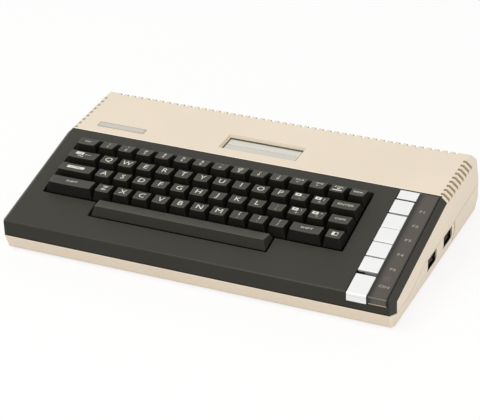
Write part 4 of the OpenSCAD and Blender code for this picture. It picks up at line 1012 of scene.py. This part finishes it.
ports = {
    "middles": (94.4, 135.8), "height": 16.6, "halfY": 10.1, "halfZ": 5.1, "wall": 0.25,
    "inner": 183.05, "outer": 188.3, "rimGap": 0.1, "rimWidth": 0.85, "rimLap": 0.05,
}
shrouds = emptyShape()
for middleY in ports["middles"]:
    rings = []
    for x, inset in (("inner", 0), ("outer", 0), ("outer", 1), ("inner", 1)):
        y, z = ports["halfY"] - inset * ports["wall"], ports["halfZ"] - inset * ports["wall"]
        rings.append([Vector((ports[x], middleY + a * y, ports["height"] + b * z))
                      for a, b in ((-1, -1), (1, -1), (1, 1), (-1, 1))])
    addRings(shrouds, rings, capped=False)
addTrim("port_shrouds", shrouds, caseFrame, ["pitch"])

portRims = emptyShape()
rimWidth, rimLap = ports["rimWidth"], ports["rimLap"]
for middleY in ports["middles"]:
    y, z = ports["halfY"] + ports["rimGap"], ports["halfZ"] + ports["rimGap"]
    low, high = ports["height"] - z, ports["height"] + z
    for side in (-1, 1):
        y0, y1 = sorted((middleY + side * (y - rimLap), middleY + side * (y + rimWidth)))
        addWallBar(portRims, y0, y1, low - rimWidth, high + rimWidth)
    addWallBar(portRims, middleY - y + rimLap, middleY + y - rimLap, low - rimWidth, low + rimLap)
    addWallBar(portRims, middleY - y + rimLap, middleY + y - rimLap, high - rimLap, high + rimWidth)
addTrim("port_rims", portRims, caseFrame, ["pitch"])

pins = {
    "pitch": 2.76, "rowGap": 2.84, "rows": (5, 4), "radius": 0.5, "start": 178.2, "end": 187.6, "sides": 16,
    "taper": [(0.4, 1), (0.1, 0.8), (0.0, 0.4)],  # length before the tip, share of the radius
}
contacts = emptyShape()
pinRings = [(pins["start"], 1)] + [(pins["end"] - before, share) for before, share in pins["taper"]]
for middleY in ports["middles"]:
    for row, count in enumerate(pins["rows"]):
        for i in range(count):
            y = middleY + (i - (count - 1) / 2) * pins["pitch"]
            z = ports["height"] + (0.5 - row) * pins["rowGap"]
            rings = []
            for x, share in pinRings:
                r = pins["radius"] * share
                rings.append([Vector((x, y + r * a, z + r * b)) for a, b in circlePoints(pins["sides"])])
            addRings(contacts, rings)
makePiece("port_contacts", contacts, caseFrame, ["pin"], "case")


# Cartridge slot: painted shadow, a dark strip along its left end and along the rear hinge, where the door lies in shade

slotShadowStrip = emptyShape()
left, shadowLow, shadowHigh = -slotPlace["halfX"], -slotPlace["drop"] + 0.05, -slotPlace["drop"] + 0.3
addSlab(slotShadowStrip, left, left + slotPlace["shadowLeft"], slotFront, slotRear, shadowLow, shadowHigh)
addSlab(slotShadowStrip, left, -left, slotRear - slotPlace["shadowRear"], slotRear, shadowLow, shadowHigh)
addTrim("slot_shadow_strip", slotShadowStrip, rearFrame, ["slotShade"])


# Vent slots: strips in the colour of shade lie in them, just under the skin of the case, as painted shade for the
# inside of each slot

ventShadeStrips = {
    "depth": 1.6, "thick": 0.4, "reach": 7.6, "drop": 6.4, "chamfer": 5.1, "chamferDrop": 4.75, "chamferShare": 0.4,
    "start": 3.0, "end": 22.3, "rearReach": 3.3, "rearHalf": 172.0, "rearLean": 0.9,
}


def addStrip(shape, profile, ends):
    # a thin strip whose cross-section runs along profile, between two ends
    rings = []
    for end in ends:
        low = [end(a, b - ventShadeStrips["thick"]) for a, b in profile]
        rings.append([end(a, b) for a, b in profile] + low[::-1])
    addRings(shape, rings)


deep = ventShadeStrips["depth"]
for side in (-1, 1):
    ventShadeStrip = emptyShape()
    bend = ventShadeStrips["chamferShare"] * deep
    profile = [(halfCase - ventShadeStrips["reach"], -deep), (halfCase - ventShadeStrips["chamfer"] - bend, -deep),
               (halfCase - deep, -ventShadeStrips["chamferDrop"] - bend), (halfCase - deep, -ventShadeStrips["drop"])]
    ends = [lambda a, b, s=s: Vector((side * a, s, b)) for s in (ventShadeStrips["start"], rearLength - ventShadeStrips["end"])]
    addStrip(ventShadeStrip, profile, ends if side < 0 else ends[::-1])
    name, finish = ("left", "filterPale") if side < 0 else ("right", "filter")
    addTrim("side_vent_shade_" + name, ventShadeStrip, rearFrame, [finish])
rearVentShade = emptyShape()
rearTop, rearHeight = caseSize["depth"] - caseSize["rearLean"], caseSize["rearHeight"]
profile = [(rearTop - ventShadeStrips["rearReach"], rearHeight - deep), (rearTop - deep, rearHeight - deep),
           (rearTop + ventShadeStrips["rearLean"] - deep, rearHeight - ventShadeStrips["drop"])]
ends = [lambda a, b, x=x: Vector((x, a, b)) for x in (-ventShadeStrips["rearHalf"], ventShadeStrips["rearHalf"])]
addStrip(rearVentShade, profile, ends)
addTrim("rear_vent_shade", rearVentShade, caseFrame, ["filterPale"])


# Label strip: lettering and light

strip = {
    "markMiddle": 174.3, "markHeight": 2.8, "markWiden": 1.5,
    "marks": [("F1", 112.2), ("F2", 93.2), ("F3", 74.6), ("F4", 55.6), ("F5", 36.8), ("ON", 15.1)],
    "light": (173.9, 24.4), "lightSides": 48,
    "lightRings": [(3.4, -0.9), (3.4, 0.03), (3.25, 0.08), (2.2, 0.11), (1.0, 0.12)],  # radius and height
}
labels = emptyShape()
for text, s in strip["marks"]:
    addText(labels, text, strip["markMiddle"], s, strip["markHeight"], lambda *point: Vector(point),
            widen=strip["markWiden"])
addTrim("strip_labels", labels, deckFrame, ["inkDim"])

light = emptyShape()
middle = Vector((*strip["light"], 0))
rings = []
for radius, height in strip["lightRings"]:
    rings.append([middle + Vector((radius * a, radius * b, height)) for a, b in circlePoints(strip["lightSides"])])
addRings(light, rings)
makePiece("power_light_window", light, deckFrame, ["lens"], "case")
print("label strip done")


# Name plate: bare, with a thin darker outline

plate = {
    "left": -164.5, "length": 48.7, "middle": 17.2, "depth": 8.1, "top": 0.3, "inset": 0.15, "line": 0.45, "lift": 0.04,
    "radius": 0.5,
}
outline = emptyShape()
x0, x1 = plate["left"], plate["left"] + plate["length"]
y0, y1 = plate["middle"] - plate["depth"] / 2, plate["middle"] + plate["depth"] / 2
rings = []
near, far = plate["inset"], plate["inset"] + plate["line"]
for inset, lift in ((near, 0.0), (near, plate["lift"]), (far, plate["lift"]), (far, 0.0)):
    loop = roundedLoop(x0 + inset, y0 + inset, x1 - inset, y1 - inset, plate["radius"], 2, 2, 2)
    rings.append([Vector((p.x, p.y, plate["top"] + lift)) for p in loop])
addRings(outline, rings, capped=False)
addTrim("name_plate_outline", outline, rearFrame, ["plateLine"])
print("name plate done")
